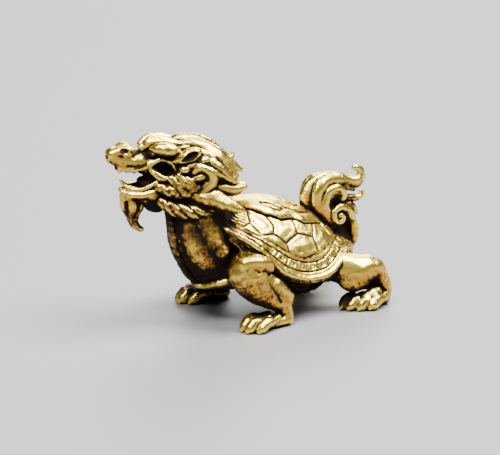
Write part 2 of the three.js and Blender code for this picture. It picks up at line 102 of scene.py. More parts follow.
def smoothstep(x: np.ndarray, low: float, high: float) -> np.ndarray:
    """Rises smoothly from 0 at low to 1 at high."""
    t = np.clip((x - low) / (high - low), 0, 1)
    return t * t * (3 - 2 * t)


def ridge(x: np.ndarray, middle: float | np.ndarray, width: float | np.ndarray) -> np.ndarray:
    """A bump of 1 at the middle that falls to 0 half a width away."""
    return smoothstep(1 - np.abs(x - middle) / (0.5 * width), 0, 1)


@dataclass(frozen=True)
class Groove:
    """Lines cut along, round or in a spiral about a roll.

    Attributes:
        around: strands that the section is parted into.
        along: rings that the length is parted into; with around, they twist like a rope.
        depth: the deepest cut, as a share of the roll's radius.
        sharp: over 1 narrows the cut and widens what stands between.
        phase: where the first line falls, in radians.
    """

    around: float = 0
    along: float = 0
    depth: float = 0.2
    sharp: float = 1.6
    phase: float = 0.0

    def cut(self, angle: np.ndarray, share: np.ndarray) -> np.ndarray:
        """The cut as a share of the radius, at an angle of the section and a share of the length."""
        wave = np.cos(0.5 * self.around * angle + math.pi * self.along * share + self.phase)
        return self.depth * (1 - np.abs(wave)) ** self.sharp


@dataclass
class Roll:
    """A roll of clay along a smooth line: a limb, a lock, a curl or a ridge.

    Attributes:
        stations: points (x, y, z, radius).
        flat: the section's width over its height.
        crest: how far the back is drawn up to an edge, as a share of the half height.
        up: the way that the back faces at the first station.
        grooves: the lines cut into it.
        steps: straight pieces between two stations.
        tip: how far each end is rounded out, as a share of its radius.
    """

    THINNEST = 0.05
    FADE = 0.08  # the share of the length over which the grooves run out at each end

    stations: Stations
    flat: float = 1.0
    crest: float = 0.0
    up: Point = (0.0, 0.0, 1.0)
    grooves: tuple[Groove, ...] = ()
    steps: int = 4
    tip: float = 0.8

    def line(self) -> tuple[np.ndarray, np.ndarray]:
        """Draws the centreline as a smooth curve through the stations.

        Returns:
            Its points and their radii.
        """
        stations = np.array(self.stations, float)
        padded = np.vstack([2 * stations[0] - stations[1], stations, 2 * stations[-1] - stations[-2]])
        rows = []
        for i in range(len(stations) - 1):
            a, b, c, d = padded[i : i + 4]
            for t in np.arange(self.steps) / self.steps:
                rows.append(
                    0.5 * (2 * b + (c - a) * t + (2 * a - 5 * b + 4 * c - d) * t**2
                           + (3 * b - a - 3 * c + d) * t**3)
                )
        rows.append(stations[-1])
        rows = np.array(rows)
        return rows[:, :3], np.maximum(rows[:, 3], self.THINNEST)

    def frames(self, points: np.ndarray) -> tuple[np.ndarray, np.ndarray]:
        """Carries the section's directions along the line without a twist.

        Args:
            points: the centreline.

        Returns:
            The directions to the side and to the back, at each point.
        """
        tangents = np.gradient(points, axis=0)
        tangents /= np.linalg.norm(tangents, axis=1)[:, None]
        lift = np.array(self.up, float)
        sides, lifts = [], []
        for tangent in tangents:
            side = np.cross(tangent, lift)
            side /= max(np.linalg.norm(side), 1e-9)
            lift = np.cross(side, tangent)
            sides.append(side)
            lifts.append(lift)
        return np.array(sides), np.array(lifts)

    def reach(self) -> tuple[np.ndarray, np.ndarray]:
        """Works out the roll's box.

        Returns:
            Its lowest and highest corner.
        """
        points, radii = self.line()
        spread = radii[:, None] * max(self.flat, 1 / self.flat) ** 0.5 * (1 + self.crest)
        return (points - spread).min(0), (points + spread).max(0)

    def distance(self, window: Window, margin: float) -> np.ndarray:
        """Works out distances to the roll's face.

        Args:
            window: the places of the grid's cells on each axis.
            margin: how far beyond the face they are worked out.

        Returns:
            The distance at each cell, below 0 inside.
        """
        points, radii = self.line()
        sides, lifts = self.frames(points)
        out = np.full([len(axis) for axis in window], FAR, np.float32)
        count = len(points) - 1
        wide, high = self.flat**0.5, 1 / self.flat**0.5
        for i in range(count):
            ends, pair = points[i : i + 2], radii[i : i + 2]
            spread = pair.max() * max(wide, high) * (1 + self.crest) + margin
            cells = [
                slice(*np.searchsorted(axis, (ends[:, k].min() - spread, ends[:, k].max() + spread)))
                for k, axis in enumerate(window)
            ]
            if any(cell.stop <= cell.start for cell in cells):
                continue
            x, y, z = np.ix_(*[axis[cell] for axis, cell in zip(window, cells)])
            axis = ends[1] - ends[0]
            length = max(float(np.linalg.norm(axis)), 1e-6)
            axis = axis / length
            dx, dy, dz = x - ends[0][0], y - ends[0][1], z - ends[0][2]
            run = dx * axis[0] + dy * axis[1] + dz * axis[2]
            t = np.clip(run / length, 0, 1)
            over = (run - t * length) / self.tip
            side, lift = sides[i], lifts[i]
            p = dx * side[0] + dy * side[1] + dz * side[2]
            q = dx * lift[0] + dy * lift[1] + dz * lift[2]
            radius = pair[0] + (pair[1] - pair[0]) * t
            a, b = radius * wide, radius * high
            u, v, w = p / a, q / b, over / radius
            k0 = np.sqrt(u * u + v * v + w * w) + 1e-6
            if self.crest:
                raised = 1 + self.crest * np.maximum(v / k0, 0) ** 4
                v = v / raised
                b = b * raised
                k0 = np.sqrt(u * u + v * v + w * w) + 1e-6
            k1 = np.sqrt((u / a) ** 2 + (v / b) ** 2 + (w / radius) ** 2) + 1e-6
            near = k0 * (k0 - 1) / k1
            if self.grooves:
                angle = np.arctan2(v, u)
                share = (i + t) / count
                ends_fade = np.clip(np.minimum(share, 1 - share) / self.FADE, 0, 1)
                for groove in self.grooves:
                    near = near + groove.cut(angle, share) * radius * ends_fade
            out[tuple(cells)] = np.minimum(out[tuple(cells)], near)
        return out


@dataclass
class Lump:
    """A rounded mass: a ball stretched to three radii and turned about Z."""

    centre: Point
    radii: Point
    turn: float = 0.0

    def reach(self) -> tuple[np.ndarray, np.ndarray]:
        """The lowest and highest corner of the lump's box."""
        spread = np.array([max(self.radii[:2]), max(self.radii[:2]), self.radii[2]])
        return np.array(self.centre) - spread, np.array(self.centre) + spread

    def distance(self, window: Window, margin: float) -> np.ndarray:
        """Works out distances to the lump's face.

        Args:
            window: the places of the grid's cells on each axis.
            margin: not used, because every cell is worked out.

        Returns:
            The distance at each cell, below 0 inside.
        """
        x, y, z = np.ix_(*window)
        dx, dy, dz = (axis - c for axis, c in zip((x, y, z), self.centre))
        turn = math.radians(self.turn)
        u = (dx * math.cos(turn) + dy * math.sin(turn)) / self.radii[0]
        v = (dy * math.cos(turn) - dx * math.sin(turn)) / self.radii[1]
        w = dz / self.radii[2]
        k0 = np.sqrt(u * u + v * v + w * w) + 1e-6
        k1 = np.sqrt(sum((part / r) ** 2 for part, r in zip((u, v, w), self.radii))) + 1e-6
        return (k0 * (k0 - 1) / k1).astype(np.float32)


Form = Roll | Lump


class Clay:
    """The block of distances to the modelled face, on a regular grid."""

    MARGIN = 1.1  # how far beyond a form its distances are worked out
    LINED = (0.1, 0.3)  # the depths of a groove between which its dirt sets in
    LINED_REACH = 0.5  # how far out of the face a groove's dirt is marked

    def __init__(self, low: Point, high: Point, step: float) -> None:
        """Lays out an empty block.

        Args:
            low: the lowest corner.
            high: the highest corner.
            step: the grid's pitch.
        """
        pad = 4 * step
        self.step = step
        self.low = np.array(low, float) - pad
        counts = np.ceil((np.array(high, float) + pad - self.low) / step).astype(int) + 1
        self.axes = tuple(
            (start + step * np.arange(n)).astype(np.float32) for start, n in zip(self.low, counts)
        )
        self.values = np.full(counts, FAR, np.float32)
        self.dirt_and_painted_shade = np.zeros(counts, np.float32)
        self.worn = np.zeros(counts, np.float32)

    def press(self, form: Form, blend: float = 0.12, use: Use = Use.ADD, share: float = 1.0) -> None:
        """Joins a form to the block, cuts it out, or marks its space with dirt and painted shade, or as
        rubbed clean.

        Args:
            form: what is pressed in.
            blend: how far the crease between them is rounded, or how softly the dirt and painted shade end.
            use: what the form does.
            share: how strong the dirt and painted shade, or the cleaning, is, up to 1.
        """
        margin = max(self.MARGIN, blend)
        low, high = form.reach()
        cells = tuple(
            slice(*np.searchsorted(axis, (a - margin, b + margin)))
            for axis, a, b in zip(self.axes, low, high)
        )
        if any(cell.stop <= cell.start for cell in cells):
            return
        window = tuple(axis[cell] for axis, cell in zip(self.axes, cells))
        new = form.distance(window, margin)
        if use in (Use.SOIL_AND_PAINTED_SHADE, Use.WEAR):
            marked = self.dirt_and_painted_shade if use is Use.SOIL_AND_PAINTED_SHADE else self.worn
            marked[cells] = np.maximum(marked[cells], share * (1 - smoothstep(new, 0, blend)))
            return
        if isinstance(form, Roll) and form.grooves:
            cut = new - replace(form, grooves=()).distance(window, margin)
            lined = share * smoothstep(cut, *self.LINED) * (new < self.LINED_REACH)
            self.dirt_and_painted_shade[cells] = np.maximum(self.dirt_and_painted_shade[cells], lined)
        old = self.values[cells]
        if use is Use.ADD:
            hollow = np.maximum(blend - np.abs(old - new), 0)
            self.values[cells] = np.minimum(old, new) - hollow**2 / (4 * blend)
        else:
            hollow = np.maximum(blend - np.abs(old + new), 0)
            self.values[cells] = np.maximum(old, -new) + hollow**2 / (4 * blend)

    def roll(self, stations: Stations, blend: float = 0.12, use: Use = Use.ADD, share: float = 1.0,
             side: Side = Side.RIGHT, **shape: object) -> None:
        """Presses a roll in on one side; blend, use and share are as for press."""
        self.press(Roll(mirrored(stations, side), **shape), blend, use, share)

    def ball(self, centre: Point, radii: Point, blend: float = 0.12, use: Use = Use.ADD,
             share: float = 1.0, side: Side = Side.RIGHT) -> None:
        """Presses a lump in on one side; blend, use and share are as for press."""
        self.press(Lump(mirrored((centre,), side)[0], radii), blend, use, share)

    @staticmethod
    def blurred(values: np.ndarray, reach: float) -> np.ndarray:
        """Softens a field by three passes of a box.

        Args:
            values: the field.
            reach: the spread of the softening, in cells.

        Returns:
            The softened copy.
        """
        half = max(int(round(reach)), 1)
        soft = values.astype(np.float32)
        for axis in range(3):
            for _ in range(3):
                lead = np.moveaxis(soft, axis, 0)
                before, after = np.repeat(lead[:1], half + 1, 0), np.repeat(lead[-1:], half, 0)
                padded = np.concatenate([before, lead, after])
                total = np.cumsum(padded, 0, dtype=np.float32)
                lead = (total[2 * half + 1 :] - total[: -2 * half - 1]) / (2 * half + 1)
                soft = np.moveaxis(lead, 0, axis)
        return soft

    def noise(self, grain: float, seed: int) -> np.ndarray:
        """Draws smooth noise over the block.

        Args:
            grain: the size of its bumps, in drawing units.
            seed: the seed of the random draw.

        Returns:
            The noise, with a spread of 1.
        """
        draw = np.random.default_rng(seed).standard_normal(self.values.shape, dtype=np.float32)
        soft = self.blurred(draw, grain / self.step / 2)
        return soft / soft.std()

    def sampled(self, values: np.ndarray, points: np.ndarray) -> np.ndarray:
        """Reads a field at points, between the cells around each.

        Args:
            values: the field.
            points: the places, on the drawing grid.

        Returns:
            The field's value at each point.
        """
        place = (points - self.low) / self.step
        place = np.clip(place, 0, np.array(values.shape) - 1.001)
        cell = place.astype(int)
        part = place - cell
        total = np.zeros(len(points))
        for corner in np.ndindex(2, 2, 2):
            weight = np.prod(np.where(corner, part, 1 - part), axis=1)
            total += weight * values[tuple((cell + corner).T)]
        return total


@dataclass(frozen=True)
class Profile:
    """A smooth curve through (x, value) pairs."""

    pairs: Stations

    def at(self, x: np.ndarray) -> np.ndarray:
        """Reads the curve, which is level beyond its ends.

        Args:
            x: the places to read.

        Returns:
            The curve's value at each place.
        """
        px, pv = np.array(self.pairs, float).T
        slopes = np.gradient(pv, px)
        slopes[1:-1] = (pv[2:] - pv[:-2]) / (px[2:] - px[:-2])
        x = np.clip(x, px[0], px[-1])
        i = np.clip(np.searchsorted(px, x, side="right") - 1, 0, len(px) - 2)
        h = px[i + 1] - px[i]
        t = (x - px[i]) / h
        return (
            (2 * t**3 - 3 * t**2 + 1) * pv[i]
            + (t**3 - 2 * t**2 + t) * h * slopes[i]
            + (3 * t**2 - 2 * t**3) * pv[i + 1]
            + (t**3 - t**2) * h * slopes[i + 1]
        )


@dataclass
class Shell:
    """The carapace: a dome of raised plates with a patterned margin and a rolled edge."""

    half_width: Profile = Profile((
        (-18.6, 3.4), (-18, 4.9), (-17.2, 6.6), (-15.7, 8.5), (-13.6, 10), (-11.6, 11), (-9.7, 11.6),
        (-7.7, 12), (-2, 12), (1.9, 11.5), (4.8, 10.5), (7.4, 8.7), (9.9, 6.2), (12, 3.4), (13.4, 0.6),
    ))
    rim_height: Profile = Profile((
        (-18.6, 20.2), (-17.6, 19.3), (-15.7, 18), (-13.6, 16.4), (-11.6, 14.4), (-9.7, 12.3),
        (-7.7, 10.6), (-5.4, 9.4), (-2.1, 8.6), (1.9, 8.7), (4.8, 9.8), (7.4, 11), (9.9, 11.3),
        (13.4, 10.4),
    ))
    spine_height: Profile = Profile((
        (-18.6, 20.8), (-15, 21.6), (-12, 22), (-9, 22.4), (-5, 22.2), (-1, 21.1), (3, 19),
        (6.5, 16), (10, 13), (13.4, 10.6),
    ))
    ends: Point = (-18.6, 13.4)  # the neck's end and the tail's
    middle: float = -2.6
    half_length: float = 16.0
    dome_shape: float = 0.75
    steepest: float = 6.0  # no slope of the dome counts for more
    under: Point = (-3.0, 0.0, 9.5)  # where the underside comes together, inside the body
    under_lean: float = 0.85
    rim_thickness: float = 0.8
    # Rolls round the rim: how far inwards and below, radius, blend and use; the last paints shade under the
    # rim
    edge: tuple[tuple[float, float, float, float, Use], ...] = (
        (0, 0, 0.52, 0.1, Use.ADD), (0.5, 0.85, 0.36, 0.2, Use.ADD), (0.9, 1.7, 0.85, 0.35, Use.SOIL_AND_PAINTED_SHADE),
    )
    edge_inset: float = 0.2
    flange: Stations = (
        (-17.6, 4.6, 19.9, 0.9), (-16.0, 6.4, 18.8, 1.2), (-13.6, 8.2, 17.0, 1.1), (-11.2, 9.6, 14.6, 0.8),
    )
    plate_relief: float = 0.3
    leaf_relief: Profile = Profile((
        (-13, 0.55), (-8, 0.75), (-3, 0.45), (6, 0.35),
    ))
    margin: Profile = Profile((
        (-18.6, 2.0), (-13, 2.1), (-7, 3.8), (-2, 3.95), (13.4, 3.95),
    ))
    full_margin: float = 3.95  # the margin's width where its tiles have their full size
    margin_lines: Point = (1.3, 3.1)
    margin_depth: float = 1.35  # of these lines, as a share of the others
    tile_pitch: float = 3.0
    tile_phase: float = 0.4
    line_width: float = 0.42
    line_depth: float = 0.24
    # Where the grooves meet, in plan on one side
    meetings: dict[str, Point] = field(default_factory=lambda: {
        "n0": (-17.2, 0), "n1": (-16.8, 4.4),
        "a0": (-12.9, 0), "a1": (-11.2, 3.2), "a2": (-8.5, 5.4), "a3": (-5.4, 6.2), "a4": (-2.7, 5.8),
        "a5": (-0.4, 6.3), "a6": (2, 5.6), "a7": (4.4, 4.6), "a8": (6.3, 0),
        "c1": (-8.3, 0), "c2": (-2.9, 0), "c3": (2.2, 0), "d1": (-8.4, 2.8), "d2": (-2.8, 3),
        "d3": (2.1, 2.9),
        "b1": (-12.6, 6.6), "b2": (-11.3, 8.8), "b3": (-8.4, 8.3), "b4": (-7.7, 7.2),
        "b5": (-6.2, 9.3), "b6": (-2.9, 8), "b7": (0.5, 8.1),
        "m1": (-15.2, 7.2), "m2": (-12.5, 9.4), "m3": (-9.2, 10.3), "m4": (-6.1, 10.7),
        "m5": (-2.8, 10.6), "m6": (0.9, 9.9), "m7": (3.6, 8.7), "m8": (6, 6.8), "m9": (8.2, 4),
        "m10": (10.2, 0),
    })
    leaf_field: Point = (4.0, 4.5)  # depths between which the cross lines set in
    leaf_lines: Stations = ((2.3, -4.0), (4.1, -2.0))  # depth and where the line starts
    leaf_arch: Point = (-6.1, 2.3, 2.1, 3.1)  # middle, half length, lowest and highest depth
    leaf_bows: Stations = ((1, 1.0), (-1, 0.4))  # the way of each of its two bows, and how full it is
    leaf_line: Point = (0.8, 0.45)  # width and depth
    leaf: str = "a0 a1 a2 a3 a4 a5 a6 a7 a8"
    leaf_plates: tuple[str, ...] = (
        "a0 a1 a2 d1 c1", "c1 d1 a2 a3 a4 d2 c2", "c2 d2 a4 a5 a6 d3 c3", "c3 d3 a6 a7 a8",
    )
    flank_plates: tuple[str, ...] = (
        "n0 n1 m1 b1 a1 a0", "b1 m1 m2 b2", "a1 b1 b2 b3 b4 a2", "a2 b4 b3 b5 b6 a4 a3",
        "a4 b6 b7 a6 a5", "b2 m2 m3 m4 b5 b3", "b5 m4 m5 m6 b7 b6", "a6 b7 m6 m7 m8 a7",
        "a8 a7 m8 m9 m10",
    )
    hair: Point = (0.18, 0.8, 0.3, 1.3)  # of the front plate: height, pitch, sway and the sway's pace
    plan_step: float = 0.08
    plan_ends: Point = (-19.6, 14.6)
    room: Stations = ((-19.5, 14.4), (6.5, 24.4))  # what the shell takes up of the block, on X and Z

    def height(self, x: np.ndarray, y: np.ndarray) -> np.ndarray:
        """Works out the dome's height, before any plate is raised.

        Args:
            x: places in plan, along the shell.
            y: places in plan, across it.

        Returns:
            The height at each place.
        """
        share = np.clip(np.abs(y) / self.half_width.at(x), 0, 1)
        rim, spine = self.rim_height.at(x), self.spine_height.at(x)
        return rim + (spine - rim) * np.cos(0.5 * math.pi * share) ** self.dome_shape

    def rim_line(self, inset: float = 0.0) -> np.ndarray:
        """Draws the rim of one side, from the neck to the tail.

        Args:
            inset: how far inwards of the rim the line runs.

        Returns:
            Its points.
        """
        turn = np.linspace(0, math.pi, 90)
        x = self.middle - self.half_length * np.cos(turn)
        y = self.half_width.at(x) - inset
        x = np.concatenate([self.ends[:1], x, self.ends[1:]])
        y = np.concatenate([[0.0], y, [0.0]])
        return np.stack([x, y, self.rim_height.at(x)], 1)

    @staticmethod
    def inside(outline: np.ndarray, x: np.ndarray, y: np.ndarray) -> np.ndarray:
        """Measures how far places lie inside a flat outline.

        Args:
            outline: its corners.
            x: the places along the shell.
            y: the places across it.

        Returns:
            Each place's distance from the outline, below 0 outside.
        """
        nearest = np.full(x.shape, np.inf)
        odd = np.zeros(x.shape, bool)
        for (ax, ay), (bx, by) in zip(outline, np.roll(outline, -1, 0)):
            ex, ey = bx - ax, by - ay
            t = np.clip(((x - ax) * ex + (y - ay) * ey) / (ex * ex + ey * ey), 0, 1)
            nearest = np.minimum(nearest, np.hypot(x - ax - t * ex, y - ay - t * ey))
            if ay != by:
                odd ^= ((ay > y) != (by > y)) & (x < ax + (y - ay) * ex / ey)
        return np.where(odd, nearest, -nearest)

    def from_rim(self, points: np.ndarray) -> tuple[np.ndarray, np.ndarray]:
        """Measures how points lie to the rim.

        Args:
            points: points on the shell, with Y as a positive number.

        Returns:
            Each point's distance from the rim, and how far along the rim its nearest place is.
        """
        rim = self.rim_line()
        rise = np.full(len(points), np.inf)
        run = np.zeros(len(points))
        travelled = 0.0
        for a, b in zip(rim[:-1], rim[1:]):
            way = b - a
            length = float(np.linalg.norm(way))
            t = np.clip((points - a) @ way / length**2, 0, 1)
            away = np.linalg.norm(points - a - t[:, None] * way, axis=1)
            run = np.where(away < rise, travelled + t * length, run)
            rise = np.minimum(rise, away)
            travelled += length
        return rise, run

    def plate(self, depth: np.ndarray) -> np.ndarray:
        """A plate's height at a distance inside its edge: a smooth border round a raised field."""
        border = self.plate_relief * smoothstep(depth, 0.02, 0.3)
        return border - 0.05 * ridge(depth, 0.95, 0.35) + 0.16 * smoothstep(depth, 1.0, 2.4)

    def tiles(self, rise: np.ndarray, run: np.ndarray) -> np.ndarray:
        """Works out the margin's row of tiles, each with a sunk square.

        Args:
            rise: each point's distance from the rim, at the margin's full width.
            run: how far along the rim it lies.

        Returns:
            The depth of the cut at each point.
        """
        along = np.mod(run + self.tile_phase, self.tile_pitch) - 0.5 * self.tile_pitch
        row = smoothstep(rise, 1.25, 1.4) * (1 - smoothstep(rise, 3.0, 3.15))
        cut = self.line_depth * ridge(np.abs(along), 0.5 * self.tile_pitch, self.line_width) * row
        square = np.maximum(np.abs(along) / 0.75, np.abs(rise - 2.2) / 0.5)
        sunk, stud = 1 - smoothstep(square, 0.7, 1.0), 1 - smoothstep(square, 0.2, 0.5)
        return cut + 0.17 * sunk - 0.12 * stud

    def relief(self, feet: np.ndarray, unrolled: np.ndarray) -> np.ndarray:
        """Works out the pattern of plates, lines and tiles.

        Args:
            feet: points on the dome, with Y as a positive number.
            unrolled: each point's way round the section from the spine.

        Returns:
            How far the face stands above the dome at each point.
        """
        x = feet[:, 0]
        rise, run = self.from_rim(feet)
        margin = self.margin.at(x)
        wide = margin / self.full_margin
        raised = np.zeros(len(x))
        leaf = self.inside(self.outline(self.leaf, True), x, unrolled)
        for names in self.flank_plates:
            depth = np.minimum(self.inside(self.outline(names), x, unrolled), -leaf)
            depth = np.minimum(depth, rise - margin) if "m" in names else depth
            raised = np.where(depth > 0, self.plate(depth), raised)
        front = np.minimum(self.inside(self.outline(self.flank_plates[0]), x, unrolled), rise - margin)
        height, pitch, sway, pace = self.hair
        hair = np.cos(2 * math.pi * (rise / pitch + sway * np.sin(run * pace)))
        raised = raised + height * hair * smoothstep(front, -0.2, 0.6)
        top = self.leaf_relief.at(x)
        on_leaf = top * smoothstep(leaf, 0, 0.14) + 0.14 * ridge(leaf, 1.2, 2.6)
        for names in self.leaf_plates:
            depth = self.inside(self.outline(names, True), x, unrolled)
            line = self.line_depth * ridge(depth, 0.0, self.line_width)
            on_leaf = on_leaf - line * smoothstep(leaf, *self.leaf_field)
        wide_line, deep_line = self.leaf_line
        for depth, start in self.leaf_lines:
            line = deep_line * ridge(leaf, depth, wide_line)
            on_leaf = on_leaf - line * smoothstep(x, start, start + 1.0)
        middle, half, low, high = self.leaf_arch
        for sign, full in self.leaf_bows:
            bow = low + sign * (high - low) * (1 - ((x - middle) / half) ** 2) * full
            on_leaf = on_leaf - deep_line * ridge(leaf, bow, wide_line) * (np.abs(x - middle) < half)
        raised = np.where(leaf > 0, on_leaf, raised)
        raised = raised - 0.3 * top * ridge(leaf, -0.12, 0.5)
        # the margin: a line inside the rolled edge, the tiles and a plain strip beyond a second line
        deep_line = self.margin_depth * self.line_depth
        for place in self.margin_lines:
            raised = raised - deep_line * ridge(rise / wide, place, self.line_width / np.sqrt(wide))
        tiled = smoothstep(wide, 0.62, 0.8)
        return raised - tiled * self.tiles(rise / wide, run) * (rise < margin)

    def outline(self, names: str, whole: bool = False) -> np.ndarray:
        """Draws a plate on the unrolled shell.

        Args:
            names: the meetings round its edge.
            whole: whether its mirror image is added.

        Returns:
            The plate's corners.
        """
        right = [(x, self.unroll(x, y)) for x, y in (self.meetings[name] for name in names.split())]
        if not whole:
            return np.array(right, float)
        return np.array(right + [(x, -y) for x, y in reversed(right) if y > 0], float)

    def unroll(self, x: float, y: float) -> float:
        """Measures the way over the dome from the spine to a place in plan.

        Args:
            x: the place along the shell.
            y: the place across it.

        Returns:
            The length of the way.
        """
        across = np.linspace(0, y, 40)
        heights = self.height(np.full(40, float(x)), across)
        return float(np.hypot(np.diff(across), np.diff(heights)).sum())

    def press_into(self, clay: Clay) -> None:
        """Adds the dome, its plates and its rolled edge to the block.

        Args:
            clay: the block.
        """
        reach = max(y for _, y in self.half_width.pairs) + 1
        gx = np.arange(*self.plan_ends, self.plan_step)[:, None]
        gy = np.arange(0, reach, self.plan_step)[None, :]
        dome = self.height(gx, gy + 0 * gx)
        slope_x, slope_y = np.gradient(dome, self.plan_step)
        slope = np.hypot(slope_x, slope_y)
        steep = np.minimum(slope, self.steepest) / np.maximum(slope, 1e-6)
        slope_x, slope_y = slope_x * steep, slope_y * steep
        width = self.half_width.at(gx)
        edge = (np.abs(gy) - width) / np.sqrt(1 + np.gradient(width, self.plan_step, axis=0) ** 2)
        edge = np.maximum(edge, np.maximum(self.ends[0] - gx, gx - self.ends[1]))
        over = np.hypot(self.plan_step, np.diff(dome, axis=1, prepend=dome[:, :1]))
        unrolled = np.cumsum(over, 1) - over[:, :1]
        # the underside is a shallow cone from the rim in to the body
        rim = self.rim_line()
        bearing = np.arctan2(gy, gx - self.under[0])
        rim_bearing = np.arctan2(rim[:, 1], rim[:, 0] - self.under[0])
        order = np.argsort(rim_bearing)
        rim_away = np.hypot(rim[:, 1], rim[:, 0] - self.under[0])[order]
        rim_z = np.interp(bearing, rim_bearing[order], rim[:, 2][order])
        out = np.hypot(gy, gx - self.under[0]) / np.interp(bearing, rim_bearing[order], rim_away)
        below = self.under[2] + (rim_z - self.rim_thickness - self.under[2]) * out

        def planned(values: np.ndarray, x: np.ndarray, y: np.ndarray) -> np.ndarray:
            """Reads a field of the plan.

            Args:
                values: the field.
                x: places along the shell.
                y: places across it, on either side.

            Returns:
                The field's value at each place.
            """
            px = np.clip((x - gx[0, 0]) / self.plan_step, 0, dome.shape[0] - 1.001)
            py = np.clip(np.abs(y) / self.plan_step, 0, dome.shape[1] - 1.001)
            ix, iy = px.astype(int), py.astype(int)
            fx, fy = px - ix, py - iy
            low = (1 - fx) * values[ix, iy] + fx * values[ix + 1, iy]
            return (1 - fy) * low + fy * ((1 - fx) * values[ix, iy + 1] + fx * values[ix + 1, iy + 1])

        room = (self.room[0], (-reach + 0.1, reach - 0.2), self.room[1])
        cells = tuple(slice(*np.searchsorted(axis, ends)) for axis, ends in zip(clay.axes, room))
        x, y, z = (axis[cell] for axis, cell in zip(clay.axes, cells))
        px, py = (part.ravel() for part in np.meshgrid(x, y, indexing="ij"))
        flat = (len(x), len(y), 1)
        high = planned(dome, px, py).reshape(flat)
        lean = 1 / np.sqrt(1 + planned(slope_x, px, py) ** 2 + planned(slope_y, px, py) ** 2).reshape(flat)
        top = (z - high) * lean
        under = (planned(below, px, py).reshape(flat) - z) * self.under_lean
        sides = planned(edge, px, py).reshape(flat)
        base = np.maximum(np.maximum(top, under), sides)
        near = np.nonzero((np.abs(top) < 1.2) & (base < 1.3))
        points = np.stack([x[near[0]], np.abs(y[near[1]]), z[near[2]]], 1).astype(float)
        # the nearest places on the dome, in two steps along its slope
        feet = points.copy()
        for _ in range(2):
            hx, hy = planned(slope_x, feet[:, 0], feet[:, 1]), planned(slope_y, feet[:, 0], feet[:, 1])
            level = planned(dome, feet[:, 0], feet[:, 1])
            normal = np.stack([-hx, -hy, np.ones(len(hx))], 1) / np.sqrt(1 + hx**2 + hy**2)[:, None]
            away = points - np.stack([feet[:, 0], feet[:, 1], level], 1)
            feet = points - np.sum(away * normal, 1)[:, None] * normal
        feet[:, 1] = np.abs(feet[:, 1])
        feet[:, 2] = planned(dome, feet[:, 0], feet[:, 1])
        top = np.broadcast_to(top, base.shape).copy()
        top[near] -= self.relief(feet, planned(unrolled, feet[:, 0], feet[:, 1]))
        new = np.maximum(np.maximum(top, under), sides).astype(np.float32)
        clay.values[cells] = np.minimum(clay.values[cells], new)
        line = self.rim_line(self.edge_inset)[1:-1:4]
        for side in Side:
            for inset, drop, radius, blend, use in self.edge:
                stations = tuple((a, max(b - inset, 0.0), c - drop, radius) for a, b, c in line)
                clay.roll(stations, blend, use, side=side, steps=2)
            clay.roll(self.flange, 1.2, Use.SOIL_AND_PAINTED_SHADE, 0.45, side)


